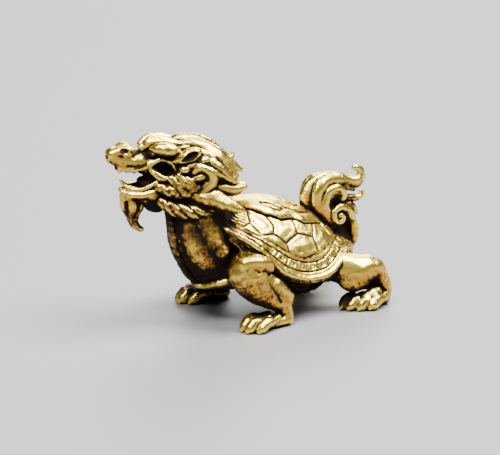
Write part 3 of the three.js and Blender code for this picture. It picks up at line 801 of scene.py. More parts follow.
@dataclass
class Trunk:
    """The barrel under the shell, the belly plate, the neck with its throat plates and the flame curls.

    Marks on the neck are (share of its length from below, degrees round from its front, radius).
    """

    barrel: Stations = (
        (-14.5, 0, 11, 5.6), (-10, 0, 11.2, 6.8), (-4, 0, 10.4, 7.2), (2, 0, 9.8, 6.9), (8, 0, 9.6, 5.2),
        (12, 0, 9.4, 3),
    )
    belly_plate: Stations = (
        (-6.4, 0, 5.4, 1.5), (-3.2, 0, 4.8, 2.8), (0.6, 0, 4.55, 3.3), (4, 0, 4.6, 2.8), (7, 0, 5.1, 1.6),
    )
    belly_lines: tuple[Groove, ...] = (Groove(along=7, depth=0.1), Groove(around=8, depth=0.07))
    neck: Stations = (
        (-13.2, 0, 10.6, 5), (-16, 0, 11.9, 5.5), (-18.2, 0.1, 15.4, 6.2), (-19.4, 0.5, 20, 5.9),
        (-20.3, 1, 24.2, 5.3), (-20.8, 1.5, 28, 4.6),
    )
    front: Point = (-1.0, 0.1, 0.0)  # the way that the throat faces
    neck_core: float = 1.0  # how far inside the face the neck's dark patina and painted shade are measured from
    # Folds of flesh down each side, with how far their middles stand over the neck's face
    folds: tuple[tuple[float, Stations], ...] = (
        (-1.5, ((0.86, 40, 1.2), (0.62, 40, 1.9), (0.4, 50, 2.2), (0.2, 76, 1.7))),
        (-1.6, ((0.9, 80, 1.4), (0.66, 79, 2.0), (0.46, 90, 2.2), (0.3, 106, 1.7))),
        (-1.5, ((0.9, 116, 1.3), (0.68, 115, 1.9), (0.5, 124, 1.7))),
    )
    throat: Stations = ((0.08, 0, 1.1), (0.25, 0, 1.25), (0.45, 0, 1.3), (0.65, 0, 1.3), (0.85, 0, 1.1))
    throat_width: float = 2.8  # the throat band's width over its height
    throat_rings: Groove = Groove(along=14, depth=0.26, sharp=2.2)
    cord: Stations = (
        (0.84, 20, 0.3), (0.65, 22, 0.36), (0.45, 22, 0.4), (0.28, 27, 0.42), (0.14, 42, 0.4),
        (0.06, 60, 0.3),
    )
    flame: Stations = (
        (-13.6, -5.4, 9.4, 1.1), (-17.2, -4.6, 8.7, 1.05), (-19.6, -2.2, 7.7, 0.85), (-20.6, -0.4, 7.7, 0.7),
        (-20.9, 0.3, 8.7, 0.5), (-20.3, 0.1, 9.5, 0.35),
    )
    small_flame: Stations = ((-13.6, 5.4, 9.4, 1.1), (-17, 5, 8.6, 0.9), (-19.2, 3.6, 8.6, 0.5))
    strands: int = 3  # of the bridge between belly and shell, and small locks behind the neck

    def on_neck(self, marks: Stations, lift: float, side: Side = Side.RIGHT) -> Stations:
        """Stations on the neck's face.

        Args:
            marks: places on the neck, drawn for the right side.
            lift: how far the stations stand over the face.
            side: the side that they go on.

        Returns:
            The stations on the drawing grid.
        """
        points, radii = Roll(self.neck, steps=8).line()
        tangents = np.gradient(points, axis=0)
        tangents /= np.linalg.norm(tangents, axis=1)[:, None]
        places = np.linspace(0, 1, len(points))
        stations = []
        for share, degrees, radius in marks:
            centre, tangent = (
                np.array([np.interp(share, places, column) for column in rows.T])
                for rows in (points, tangents)
            )
            front = np.array(self.front)
            front -= tangent * (front @ tangent)
            front /= np.linalg.norm(front)
            across = np.cross(tangent, front)
            turn = math.radians(side.value * degrees)
            out = math.cos(turn) * front + math.sin(turn) * across
            stations.append((*(centre + out * (np.interp(share, places, radii) + lift)), radius))
        return tuple(stations)

    def press_neck(self, clay: Clay) -> None:
        """Adds the neck, its ringed front and its folds of flesh.

        Args:
            clay: the block.
        """
        facing = (-1, 0, 0)
        clay.roll(self.neck, 1.2, up=facing)
        for side in Side:
            for lift, marks in self.folds:
                clay.roll(self.on_neck(marks, lift, side), 0.5)
        # the neck darkened from within: dark patina and painted shade under the head
        core = tuple((x, y, z, r - self.neck_core) for x, y, z, r in self.neck[2:])
        clay.roll(core, 2.8, Use.SOIL_AND_PAINTED_SHADE, 0.85)
        band = {"flat": self.throat_width, "up": facing}
        clay.roll(self.on_neck(self.throat, -0.05), 0.08, grooves=(self.throat_rings,), steps=8, **band)
        clay.roll(self.on_neck(self.throat, -0.6), 1.6, Use.SOIL_AND_PAINTED_SHADE, 0.62, **band)
        for side in Side:
            clay.roll(self.on_neck(self.cord, 0.0, side), 0.1)

    def press_into(self, clay: Clay) -> None:
        """Adds the trunk to the block.

        Args:
            clay: the block.
        """
        clay.roll(self.barrel, 0.1, flat=1.25)
        self.press_neck(clay)
        clay.roll(self.belly_plate, 0.25, flat=3.6, grooves=self.belly_lines)
        for side in Side:
            for k in range(self.strands):
                bridge = (
                    (-4.4 + k * 0.6, 7.3 - 0.7 * k, 7.4 - 0.9 * k, 0.35),
                    (-0.5, 7.6 - 0.7 * k, 6.8 - 0.9 * k, 0.4),
                    (3.8 - k * 0.8, 6.8 - 0.7 * k, 7.0 - 0.7 * k, 0.35),
                )
                clay.roll(bridge, 0.15, side=side)
                clay.roll(bridge, 0.2, Use.WEAR, 0.35, side)
            # the gap under the shell's edge, between belly and shell, darkened: painted shade
            clay.ball((-0.4, 7.0, 6.2), (5.6, 1.8, 2.0), 0.4, Use.SOIL_AND_PAINTED_SHADE, side=side)
            # the lump at the root of the neck and the small locks behind it
            clay.ball((-18.2, 5.4, 15.1), (1.8, 1.6, 1.95), 0.08, side=side)
            for k in range(self.strands):
                lock = (
                    (-17.0 + k, 6.6, 17.2 - 0.35 * k, 0.3), (-16.0 + k, 7.5, 16.4 - 0.35 * k, 0.42),
                    (-15.4 + k, 8.2, 15.2 - 0.35 * k, 0.2),
                )
                clay.roll(lock, 0.1, side=side)
                clay.roll(lock, 0.3, Use.WEAR, 0.6, side)
        clay.roll(self.flame, 0.1, flat=1.2, grooves=(Groove(4, 0, 0.16),))
        clay.roll(self.flame, 0.35, Use.WEAR, 0.55)
        clay.roll(self.small_flame, 0.12)


@dataclass
class Paw:
    """A broad lion's paw with four knuckled toes and claws.

    Attributes:
        heel: where it stands in plan, drawn for the right side.
        turned_out: degrees that it points outwards.
        toes: from the outer one in, how far out each lies, its reach and its radius.
        palm: stations (forwards, outwards, height, radius) from the heel.
        toe: stations (back from the reach, share of the way out, height, share of the toe's radius).
        claw: the same, with plain radii.
    """

    heel: Point
    turned_out: float
    toes: Stations
    palm: Stations = ((0, 0, 1.35, 1.4), (2.8, 0, 1.4, 1.45), (5.2, 0, 1.4, 1.45))
    toe: Stations = (
        (5.4, 0.55, 2.3, 0.85), (3.6, 0.8, 1.95, 0.88), (2.2, 0.95, 2.05, 1.08), (1.2, 1.03, 1.5, 1.0),
        (0.7, 1.03, 1.15, 0.88),
    )
    claw: Stations = ((1.0, 1.03, 1.6, 0.5), (0.25, 1.05, 1.15, 0.5), (0.05, 1.06, 0.6, 0.38))

    def place(self, forward: float, out: float, z: float, radius: float) -> Point:
        """A station from its distance forwards and outwards of the heel.

        Args:
            forward: the distance the way that the paw points.
            out: the distance outwards.
            z: the height.
            radius: the station's radius.

        Returns:
            The station on the drawing grid.
        """
        turn = math.radians(self.turned_out)
        x = self.heel[0] - forward * math.cos(turn) + out * math.sin(turn)
        y = self.heel[1] + forward * math.sin(turn) + out * math.cos(turn)
        return (x, y, z, radius)

    def press_into(self, clay: Clay, side: Side) -> None:
        """Adds the paw to the block.

        Args:
            clay: the block.
            side: the side that it stands on.
        """
        clay.roll(tuple(self.place(*station) for station in self.palm), 0.8, side=side, flat=1.7)
        for out, reach, radius in self.toes:
            toe = tuple(self.place(reach - back, out * way, z, radius * r) for back, way, z, r in self.toe)
            clay.roll(toe, 0.1, side=side)
            claw = tuple(self.place(reach - back, out * way, z, r) for back, way, z, r in self.claw)
            clay.roll(claw, 0.06, side=side, steps=3)


@dataclass
class Foreleg:
    """A foreleg: shoulder pad, forearm, the muscle behind the elbow and the paw.

    The leg's and the pad's stations end with how far they move for each unit that the shoulder is
    lowered: backwards, down and in radius.
    """

    side: Side
    lowered: float
    leg: Stations = (
        (-12.0, 6.6, 13.0, 3.2, 0, 1, 0), (-14.3, 9, 11.3, 3.75, 0.5, 1, 0.25),
        (-13.5, 9.9, 8.9, 3.45, 0, 0.6, 0), (-11.2, 10.5, 6.7, 2.6, 0, 0.3, 0),
        (-8.8, 10.9, 4.8, 1.9, 0, 0, 0), (-7.5, 11, 3, 1.5, 0, 0, 0), (-7.3, 11, 1.5, 1.4, 0, 0, 0),
    )
    pad: Stations = (
        (-16.3, 10.6, 13.2, 1.7, 0, 1, 0), (-14.4, 11.2, 13.3, 1.85, 0, 1, 0),
        (-12.5, 11.3, 12.7, 1.6, 0, 1, 0), (-11.3, 11.4, 12.0, 1.1, 0, 1, 0),
    )
    elbow: Stations = (
        (-11.9, 10.9, 10.2, 1.25), (-9.6, 11.3, 8.2, 1.45), (-7.6, 11.4, 6.0, 1.15), (-6.9, 11.3, 4.6, 0.75),
    )
    spur: Stations = ((-7.9, 10.9, 7.4, 0.7), (-6.6, 11.1, 6.0, 0.75), (-6.3, 11.2, 4.4, 0.45))
    crease: Stations = ((-12.2, 13.2, 9.4, 0.12), (-10.9, 13.1, 7.5, 0.2), (-9.6, 12.8, 5.3, 0.12))
    paw: Paw = field(default_factory=lambda: Paw(
        (-7.4, 10.9), 4, ((2.1, 8, 1.0), (0.8, 9.6, 1.1), (-0.7, 9.8, 1.1), (-2.2, 8.4, 1.0)),
    ))

    def sunk(self, stations: Stations) -> Stations:
        """Stations moved with the lowered shoulder."""
        low = self.lowered
        return tuple((x + a * low, y, z - b * low, r - c * low) for x, y, z, r, a, b, c in stations)

    def press_into(self, clay: Clay) -> None:
        """Adds the leg to the block.

        Args:
            clay: the block.
        """
        side, low = self.side, self.lowered
        clay.roll(self.sunk(self.leg), 0.9, side=side, steps=5)
        clay.roll(self.sunk(self.pad), 0.5, side=side)
        clay.roll(self.elbow, 0.6, side=side)
        clay.roll(self.spur, 0.1, side=side)
        clay.roll(self.crease, 0.12, Use.CUT, side=side)
        clay.roll(self.crease, 0.22, Use.SOIL_AND_PAINTED_SHADE, 0.9, side)
        clay.ball((-13.4, 12.6, 7.6 - 0.6 * low), (2.0, 1.4, 1.2), 3.4, Use.SOIL_AND_PAINTED_SHADE, 0.27, side)
        # the far paw under the body darkened: painted shade
        if side is Side.RIGHT:
            clay.ball((-9.5, 11.0, 2.4), (3.2, 2.0, 1.6), 1.6, Use.SOIL_AND_PAINTED_SHADE, 0.5)
            clay.ball((-13.2, 11.3, 2.0), (2.6, 2.4, 1.4), 1.8, Use.SOIL_AND_PAINTED_SHADE, 0.42)
        clay.ball((-11.6, 12.7, 11.0 - low), (0.8, 0.9, 0.4), 0.15, Use.CUT, side=side)
        self.paw.press_into(clay, side)


@dataclass
class Hindleg:
    """A hind leg: thigh, knee, hock and paw."""

    side: Side
    leg: Stations = (
        (5.6, 6.8, 9, 3), (9, 9, 7.7, 3.2), (11.6, 9.8, 8.0, 2.6), (13.4, 10.1, 7.6, 1.95),
        (15.0, 10.1, 5.6, 1.4), (15.9, 9.9, 3.4, 1.35), (15.4, 9.7, 1.6, 1.35),
    )
    fold: Stations = (
        (9.8, 8.4, 4.0, 1.0), (11.6, 8.7, 4.7, 1.35), (13.4, 9.0, 4.8, 1.25), (14.8, 9.3, 4.2, 1.0),
    )
    fold_shade: float = 0.5  # how far outwards of the fold its painted shade lies
    hock: Stations = ((13.6, 10.6, 3.2, 1.1), (12.2, 10.9, 2.9, 1.25), (10.6, 11.0, 2.5, 1.1))
    paw: Paw = field(default_factory=lambda: Paw(
        (15.6, 9.4), 12, ((2.1, 5.6, 1.1), (0.8, 7.2, 1.15), (-0.6, 8.4, 1.2), (-2, 9.2, 1.2)),
    ))

    def press_into(self, clay: Clay) -> None:
        """Adds the leg to the block.

        Args:
            clay: the block.
        """
        side = self.side
        clay.roll(self.leg, 0.5, side=side, steps=5)
        clay.ball((9.1, 9.4, 6.4), (3.5, 2.6, 2.8), 0.3, side=side)
        clay.roll(self.fold, 0.2, side=side)
        # painted shade on the fold between thigh and shin
        shade = tuple((x, y + self.fold_shade, z, r) for x, y, z, r in self.fold)
        clay.roll(shade, 0.5, Use.SOIL_AND_PAINTED_SHADE, side=side)
        # the inner toes under the thigh darkened: dark patina and painted shade
        clay.ball((8.6, 9.0, 1.8), (2.0, 1.3, 1.7), 1.2, Use.SOIL_AND_PAINTED_SHADE, side=side)
        clay.roll(self.hock, 0.15, side=side)
        self.paw.press_into(clay, side)


@dataclass
class HeadPose:
    """Where the head sits on the drawing grid. Its own frame is a forwards, b to its left, c up."""

    at: Point = (-21.9, 1.5, 29.7)
    yaw: float = 20.0

    def axes(self) -> np.ndarray:
        """Works out the head's axes from its turn.

        Returns:
            The three axes as rows.
        """
        yaw = math.radians(self.yaw)
        forwards = np.array([-math.cos(yaw), math.sin(yaw), 0.0])
        up = np.array([0.0, 0.0, 1.0])
        return np.array([forwards, np.cross(up, forwards), up])

    def points(self, stations: Stations) -> Stations:
        """Moves stations of the head's frame to the drawing grid.

        Args:
            stations: points (a, b, c), with or without a radius.

        Returns:
            The moved stations.
        """
        rows = np.array(stations, float)
        moved = rows[:, :3] @ self.axes() + np.array(self.at)
        return tuple((*spot, *row[3:]) for spot, row in zip(moved, rows))

    def way(self, direction: Point) -> Point:
        """A direction of the head's frame on the drawing grid."""
        return tuple(np.array(direction, float) @ self.axes())


@dataclass
class Head:
    """The dragon's head: skull, snout, jaws, brows, ears, beard and mane.

    Its stations are in the head's frame, (a, b, c, radius), drawn for one side or for the middle.
    """

    pose: HeadPose = field(default_factory=HeadPose)

    # Skull and brows
    snout: Stations = (
        (3.5, 0, 3.1, 2.9), (6.5, 0, 2.8, 2.5), (9, 0, 2.3, 2.15), (11.8, 0, 2.75, 2.0), (13.8, 0, 3.6, 1.6),
    )
    nose: Stations = ((11.4, 1.1, 4.7, 1.0), (12.8, 1.0, 4.35, 0.95), (14.1, 0.75, 3.85, 0.8))
    nostril: Stations = ((12.6, 2.1, 5.4, 0.3), (11.9, 2.35, 4.95, 0.5), (11.2, 2.35, 4.4, 0.3))
    nose_line: Stations = ((10.9, 2.2, 5.0, 0.16), (10.1, 2.0, 4.2, 0.22), (9.9, 2.0, 3.2, 0.12))
    crease: Stations = ((10.6, 2.3, 1.75, 0.14), (8.9, 2.6, 1.8, 0.26), (7.6, 2.7, 2.3, 0.14))
    crest: Stations = (
        (8.1, 0.9, 5.0, 0.9), (6.7, 1.25, 5.9, 1.0), (4.6, 1.5, 6.0, 1.1), (2.2, 1.6, 5.6, 0.9),
    )
    brow: Stations = (
        (7.0, 2.8, 5.3, 0.4), (5.7, 3.3, 5.25, 1.05), (4.3, 3.65, 5.05, 1.3), (3.0, 3.8, 4.9, 1.1),
        (1.8, 3.9, 4.8, 0.45),
    )

    # Mouth
    lip: Stations = (
        (12.4, 1.25, 1.4, 0.5), (10.5, 1.75, 1.15, 0.6), (8.8, 2.1, 1.35, 0.62), (7.3, 2.4, 1.95, 0.6),
        (6.0, 2.8, 2.75, 0.5), (4.8, 3.1, 3.0, 0.4), (3.2, 3.5, 2.3, 0.35), (2.4, 3.7, 0.8, 0.3),
    )
    jaw: Stations = ((0.5, 0, -3.2, 2.6), (4.5, 0, -4.4, 2.3), (8.5, 0, -4.6, 1.8), (11.2, 0, -4.1, 1.4))
    tongue: Stations = ((3.0, 0, -2.2, 1.8), (6.4, 0, -2.1, 1.8), (8.0, 0, -1.9, 1.4))
    palate: Stations = ((4.0, 0, 0.4, 1.6), (6.8, 0, 0.3, 1.5), (8.8, 0, 0.9, 1.0))
    mouth_fold: Stations = (
        (6.9, 2.5, 1.2, 0.5), (6.2, 2.9, 0.4, 0.8), (5.2, 3.25, -0.3, 0.9), (4.2, 3.4, -0.5, 0.75),
        (3.1, 3.6, 0.0, 0.4),
    )
    fangs: tuple[Stations, ...] = (
        ((12.6, 1.2, 1.4, 0.5), (12.7, 1.3, 0.6, 0.26)), ((11.2, 1.6, 1.2, 0.4), (11.3, 1.65, 0.6, 0.2)),
    )
    jaw_rim: Stations = (
        (4.9, 3.1, -0.6, 0.3), (6.4, 2.9, -1.6, 0.4), (8.2, 2.4, -2.6, 0.5), (9.6, 1.8, -2.9, 0.55),
        (11.0, 1.2, -2.5, 0.5), (12.1, 0.75, -1.6, 0.35),
    )
    teeth: Stations = ((9.9, 1.7), (8.8, 1.9), (7.8, 2.1))
    below_rim: Stations = (
        (5.6, 2.9, -2.9, 0.55), (8.0, 2.6, -3.7, 0.65), (10.3, 1.7, -3.9, 0.75), (12.0, 0.5, -3.3, 0.6),
    )
    mouth_roof: Stations = ((14.2, 0, 1.6, 1.2), (11.5, 0, 0.6, 1.3), (8.5, 0, 0.3, 1.3))

    # Tuft, cheek and beard
    chin_tuft: Stations = (
        (10.3, 0, -4.4, 2.1), (9.95, 0, -5.9, 2.4), (9.9, 0, -7.2, 1.8), (9.9, 0, -8.3, 1.3),
        (9.8, 0, -9.4, 0.95), (9.2, 0, -10.4, 0.75), (8.2, 0, -11.1, 0.45),
    )
    tuft_lines: tuple[Groove, ...] = (Groove(6, 1.0, 0.26, 1.5), Groove(0, 5, 0.22, 2.0, 0.6))
    cheek: Stations = (
        (5.6, 3.4, -2.2, 0.9), (3.6, 4.1, -2.7, 1.3), (1.2, 4.5, -2.9, 1.45), (-1.6, 4.5, -2.4, 1.2),
    )
    twisted: Stations = (
        (5.2, 3.2, -5, 0.9), (3.4, 4.0, -6.0, 1.35), (0.8, 4.7, -6.8, 1.6), (-2.2, 5.0, -7.0, 1.45),
        (-5, 5.0, -6.4, 0.9), (-6.4, 4.8, -5.6, 0.5),
    )
    stripes: tuple[Stations, ...] = (
        ((3.5, 4.5, -0.3, 0.7), (2.3, 4.9, -1.6, 1.0), (0.7, 5.0, -2.8, 0.7)),
        ((2.1, 4.7, 0.2, 0.75), (1.0, 5.05, -1.2, 1.05), (-0.8, 5.2, -2.5, 0.75)),
        ((0.5, 4.9, -0.3, 0.5), (-0.3, 5.15, -1.1, 0.65), (-1.2, 5.2, -2.2, 0.45)),
    )

    # Ears and the curl behind them
    ear: Stations = (
        (2.7, 3.9, 2.8, 0.35), (1.4, 4.4, 3.3, 1.05), (-0.1, 4.65, 4.05, 1.35), (-1.2, 4.75, 4.5, 1.05),
        (-2.1, 4.75, 4.8, 0.35),
    )
    ear_hollow: Stations = (
        (1.5, 5.25, 3.2, 0.2), (0.6, 5.6, 3.65, 0.55), (-0.35, 5.75, 4.15, 0.65), (-1.3, 5.5, 4.6, 0.25),
    )
    ear_root: Stations = ((0.2, 4.9, 1.9, 0.35), (-1.6, 5.0, 2.5, 0.4))
    curl: Stations = (
        (-0.9, 4.9, 0.7, 0.7), (-1.8, 5.1, 1.5, 1.0), (-3.0, 5.2, 1.3, 1.15), (-4.0, 5.3, 0.3, 1.25),
        (-4.1, 5.3, -0.9, 1.25), (-3.3, 5.3, -2.1, 1.15), (-2.3, 5.2, -3.2, 0.9), (-1.4, 5.0, -4.0, 0.5),
    )
    curl_heart: Stations = ((-0.4, 4.9, -0.7, 0.5), (-1.9, 5.15, -0.2, 0.85), (-3.0, 5.2, 0.1, 0.6))

    # Mane
    middle_lock: Stations = ((3.4, 0, 5, 1), (0, 0, 5.4, 1.5), (-4.2, 0, 4, 1.6), (-8.4, 0, 0.6, 0.5))
    crown: Stations = ((2.2, 1.4, 5, 0.9), (-1, 2, 5, 1.4), (-4.4, 2.4, 3.8, 1.5))
    crown_point: Stations = ((-7.4, 2.7, 1.7, 1.2), (-10.3, 2.8, 0, 0.4))
    crown_upturn: Stations = ((-7.4, 2.6, 1.6, 1.2), (-9.4, 2.5, 1, 0.7), (-10.1, 2.4, 2.3, 0.3))
    behind_ear: Stations = (
        (-0.6, 3.4, 4.3, 0.7), (-3.6, 3.6, 3.6, 1.1), (-6.6, 3.7, 1.6, 1.0), (-9.0, 3.7, -0.6, 0.4),
    )
    under_ear: Stations = ((-1.8, 3.8, 2.7, 1.35), (-5, 4.3, 0.9, 1.75), (-8.5, 4.6, -1.5, 0.75))
    low_locks: tuple[Stations, ...] = (
        ((-2.4, 3.4, -0.8, 1.4), (-5.6, 3.6, -2.4, 1.8), (-8.6, 3.5, -3.2, 1.5), (-10.8, 3.3, -2.9, 0.75)),
        ((-1.2, 4.4, -3.8, 1.4), (-4, 5.2, -4.6, 1.75), (-7.4, 5.9, -6.0, 1.15), (-10.2, 6.4, -7, 0.3)),
    )
    strands: Groove = Groove(6, 0.4, 0.2, 1.4)
    parting: Groove = Groove(2, 0.3, 0.1, 1.6)

    def roll(self, clay: Clay, stations: Stations, blend: float = 0.12, use: Use = Use.ADD,
             both: bool = True, **shape: object) -> None:
        """Presses a roll of the head's frame in, on both sides or as drawn.

        Args:
            clay: the block.
            stations: points (a, b, c, radius).
            blend: how far the crease is rounded, or how softly the dirt and painted shade end.
            use: what the roll does.
            both: whether it is repeated on the other side.
            **shape: the roll's other fields.
        """
        up = self.pose.way(shape.pop("up", (0.0, 0.0, 1.0)))
        for sign in ((1, -1) if both else (1,)):
            turned = [(a, b * sign, c, r) for a, b, c, r in stations]
            clay.press(Roll(self.pose.points(turned), up=up, **shape), blend, use)

    def ball(self, clay: Clay, centre: Point, radii: Point, blend: float = 0.12, use: Use = Use.ADD,
             both: bool = True, share: float = 1.0) -> None:
        """Presses a lump of the head's frame in, on both sides or as drawn.

        Args:
            clay: the block.
            centre: its middle (a, b, c).
            radii: its three radii.
            blend: how far the crease is rounded, or how softly the dirt and painted shade end.
            use: what the lump does.
            both: whether it is repeated on the other side.
            share: how strong its dirt and painted shade are, up to 1.
        """
        for sign in ((1, -1) if both else (1,)):
            ((x, y, z),) = self.pose.points([(centre[0], centre[1] * sign, centre[2])])
            clay.press(Lump((x, y, z), radii, -self.pose.yaw), blend, use, share)

    def skull(self, clay: Clay) -> None:
        """Adds the skull, the cheeks, the snout and the nose.

        Args:
            clay: the block.
        """
        self.ball(clay, (0.8, 0, 2.6), (5.4, 3.9, 3.9), 0.3, both=False)
        self.ball(clay, (-0.5, 2.9, -0.8), (4.5, 1.8, 3.0), 0.3)
        self.roll(clay, self.snout, 0.8, both=False, flat=1.2, steps=6)
        self.ball(clay, (11.3, 1.25, 4.5), (1.8, 1.15, 1.15), 0.45)
        self.roll(clay, self.nose, 0.5)
        self.roll(clay, self.nostril, 0.15, Use.CUT)
        self.ball(clay, (11.9, 2.2, 4.9), (0.75, 0.6, 0.5), 0.2, Use.SOIL_AND_PAINTED_SHADE)
        self.ball(clay, (14.9, 0.9, 3.6), (0.35, 0.3, 0.32), 0.1, Use.CUT)
        self.ball(clay, (14.9, 0.9, 3.6), (0.4, 0.35, 0.35), 0.2, Use.SOIL_AND_PAINTED_SHADE)
        self.roll(clay, self.nose_line, 0.15, Use.CUT)
        self.roll(clay, self.crease, 0.1, Use.CUT)
        self.roll(clay, self.crease, 0.2, Use.SOIL_AND_PAINTED_SHADE)

    def mouth(self, clay: Clay) -> None:
        """Adds the lips, the jaws, the fangs and the tongue, and opens the mouth's corner.

        Args:
            clay: the block.
        """
        self.roll(clay, self.jaw, 0.4, both=False, flat=1.5)
        self.ball(clay, (4.6, 0, -1.0), (3.3, 2.0, 2.9), 0.4, both=False)
        self.roll(clay, self.tongue, 0.15, both=False, flat=1.7, grooves=(Groove(2, 0, 0.15),))
        self.roll(clay, self.palate, 0.15, both=False, flat=1.5, grooves=(Groove(0, 9, 0.15),))
        self.ball(clay, (3.9, 3.6, 1.2), (1.4, 2.3, 1.15), 0.15, Use.CUT)
        self.ball(clay, (4.1, 3.0, 1.2), (1.4, 1.3, 1.15), 0.4, Use.SOIL_AND_PAINTED_SHADE)
        self.ball(clay, (6.8, 0, -0.9), (3.4, 2.3, 2.0), 0.4, Use.SOIL_AND_PAINTED_SHADE, both=False)
        self.roll(clay, self.lip, 0.25)
        self.roll(clay, self.mouth_fold, 0.08, flat=1.2)
        for fang in self.fangs:
            self.roll(clay, fang, 0.1)
        self.roll(clay, self.jaw_rim, 0.1)
        for a, b in self.teeth:
            self.roll(clay, ((a, b, 1.2, 0.34), (a + 0.05, b - 0.05, 0.35, 0.14)), 0.08)
        self.roll(clay, self.below_rim, 0.1)
        self.ball(clay, (6.4, 2.5, -3.8), (1.6, 1.1, 1.2), 0.1)
        self.ball(clay, (5.6, 0, -5.6), (2.3, 2.2, 2.3), 0.4, both=False)
        # the underside of the jaw and of the snout darkened: painted shade
        self.ball(clay, (5.6, 0, -6.2), (2.9, 2.6, 2.5), 0.4, Use.SOIL_AND_PAINTED_SHADE, both=False)
        self.roll(clay, self.mouth_roof, 0.5, Use.SOIL_AND_PAINTED_SHADE, both=False)

    def brows(self, clay: Clay) -> None:
        """Adds the forehead's crest, the brows, the eyes and their sockets.

        Args:
            clay: the block.
        """
        self.roll(clay, self.crest, 0.12, grooves=(Groove(4, 0, 0.16),))
        self.ball(clay, (7.0, 2.9, 4.1), (1.5, 1.3, 1.0), 0.15, Use.CUT)
        self.ball(clay, (7.0, 2.1, 4.05), (1.5, 1.0, 1.0), 0.3, Use.SOIL_AND_PAINTED_SHADE)
        self.roll(clay, self.brow, 0.06)
        self.ball(clay, (6.75, 2.5, 4.15), (0.75, 0.8, 0.72), 0.05)

    def mane(self, clay: Clay) -> None:
        """Adds the locks that sweep back to points.

        Args:
            clay: the block.
        """
        lock = {"crest": 0.35, "flat": 1.3, "grooves": (self.strands,), "steps": 5}
        plain = {"crest": 0.4, "flat": 1.2, "grooves": (self.parting,), "steps": 5}
        upturned = tuple((a, -b, c, r) for a, b, c, r in (*self.crown, *self.crown_upturn))
        self.ball(clay, (-4, 0, 0.2), (4.4, 3.8, 4.6), 0.3, both=False)
        for stations in (self.middle_lock, (*self.crown, *self.crown_point), upturned):
            self.roll(clay, stations, both=False, **lock)
        self.roll(clay, self.behind_ear, **plain)
        self.roll(clay, self.under_ear, **lock)
        for stations in self.low_locks:
            self.roll(clay, stations, **plain)

    def beard(self, clay: Clay) -> None:
        """Adds the twisted beard, the striped cheeks and the folds behind the mouth.

        Args:
            clay: the block.
        """
        self.roll(clay, self.cheek, 0.1, grooves=(Groove(3, 4.5, 0.34, 1.7),))
        self.roll(clay, self.twisted, 0.1, grooves=(Groove(4, 6.5, 0.36, 1.7),))
        for stripe in self.stripes:
            self.roll(clay, stripe, 0.06)
        # the lower side of the head darkened: painted shade
        self.ball(clay, (1.0, 4.6, -4.0), (5.0, 2.2, 3.0), 2.5, Use.SOIL_AND_PAINTED_SHADE, share=0.3)

    def ears(self, clay: Clay) -> None:
        """Adds the leaf-shaped ears, the knobs under them and the curled locks behind.

        Args:
            clay: the block.
        """
        self.roll(clay, self.ear, 0.06)
        self.roll(clay, self.ear_hollow, 0.08, Use.CUT)
        self.roll(clay, self.ear_hollow, 0.2, Use.SOIL_AND_PAINTED_SHADE)
        self.ball(clay, (0.95, 4.9, 1.4), (1.0, 0.9, 0.72), 0.06)
        self.roll(clay, self.ear_root, 0.06)
        self.ball(clay, (-2.9, 4.8, 2.9), (1.1, 1.0, 0.9), 0.08)
        self.roll(clay, self.curl, 0.06, grooves=(Groove(4, 0, 0.15),))
        self.roll(clay, self.curl_heart, 0.06)

    def tuft(self, clay: Clay) -> None:
        """Adds the tuft of hair under the chin."""
        self.roll(clay, self.chin_tuft, 0.1, both=False, up=(1, 0, 0), flat=0.9, grooves=self.tuft_lines)
        self.ball(clay, (10.0, 0, -7.6), (1.3, 1.2, 2.8), 2.0, Use.SOIL_AND_PAINTED_SHADE, both=False, share=0.42)

    def press_into(self, clay: Clay) -> None:
        """Adds the whole head to the block, its parts in the order that they overlap."""
        for part in (self.skull, self.mouth, self.brows, self.mane, self.beard, self.ears, self.tuft):
            part(clay)


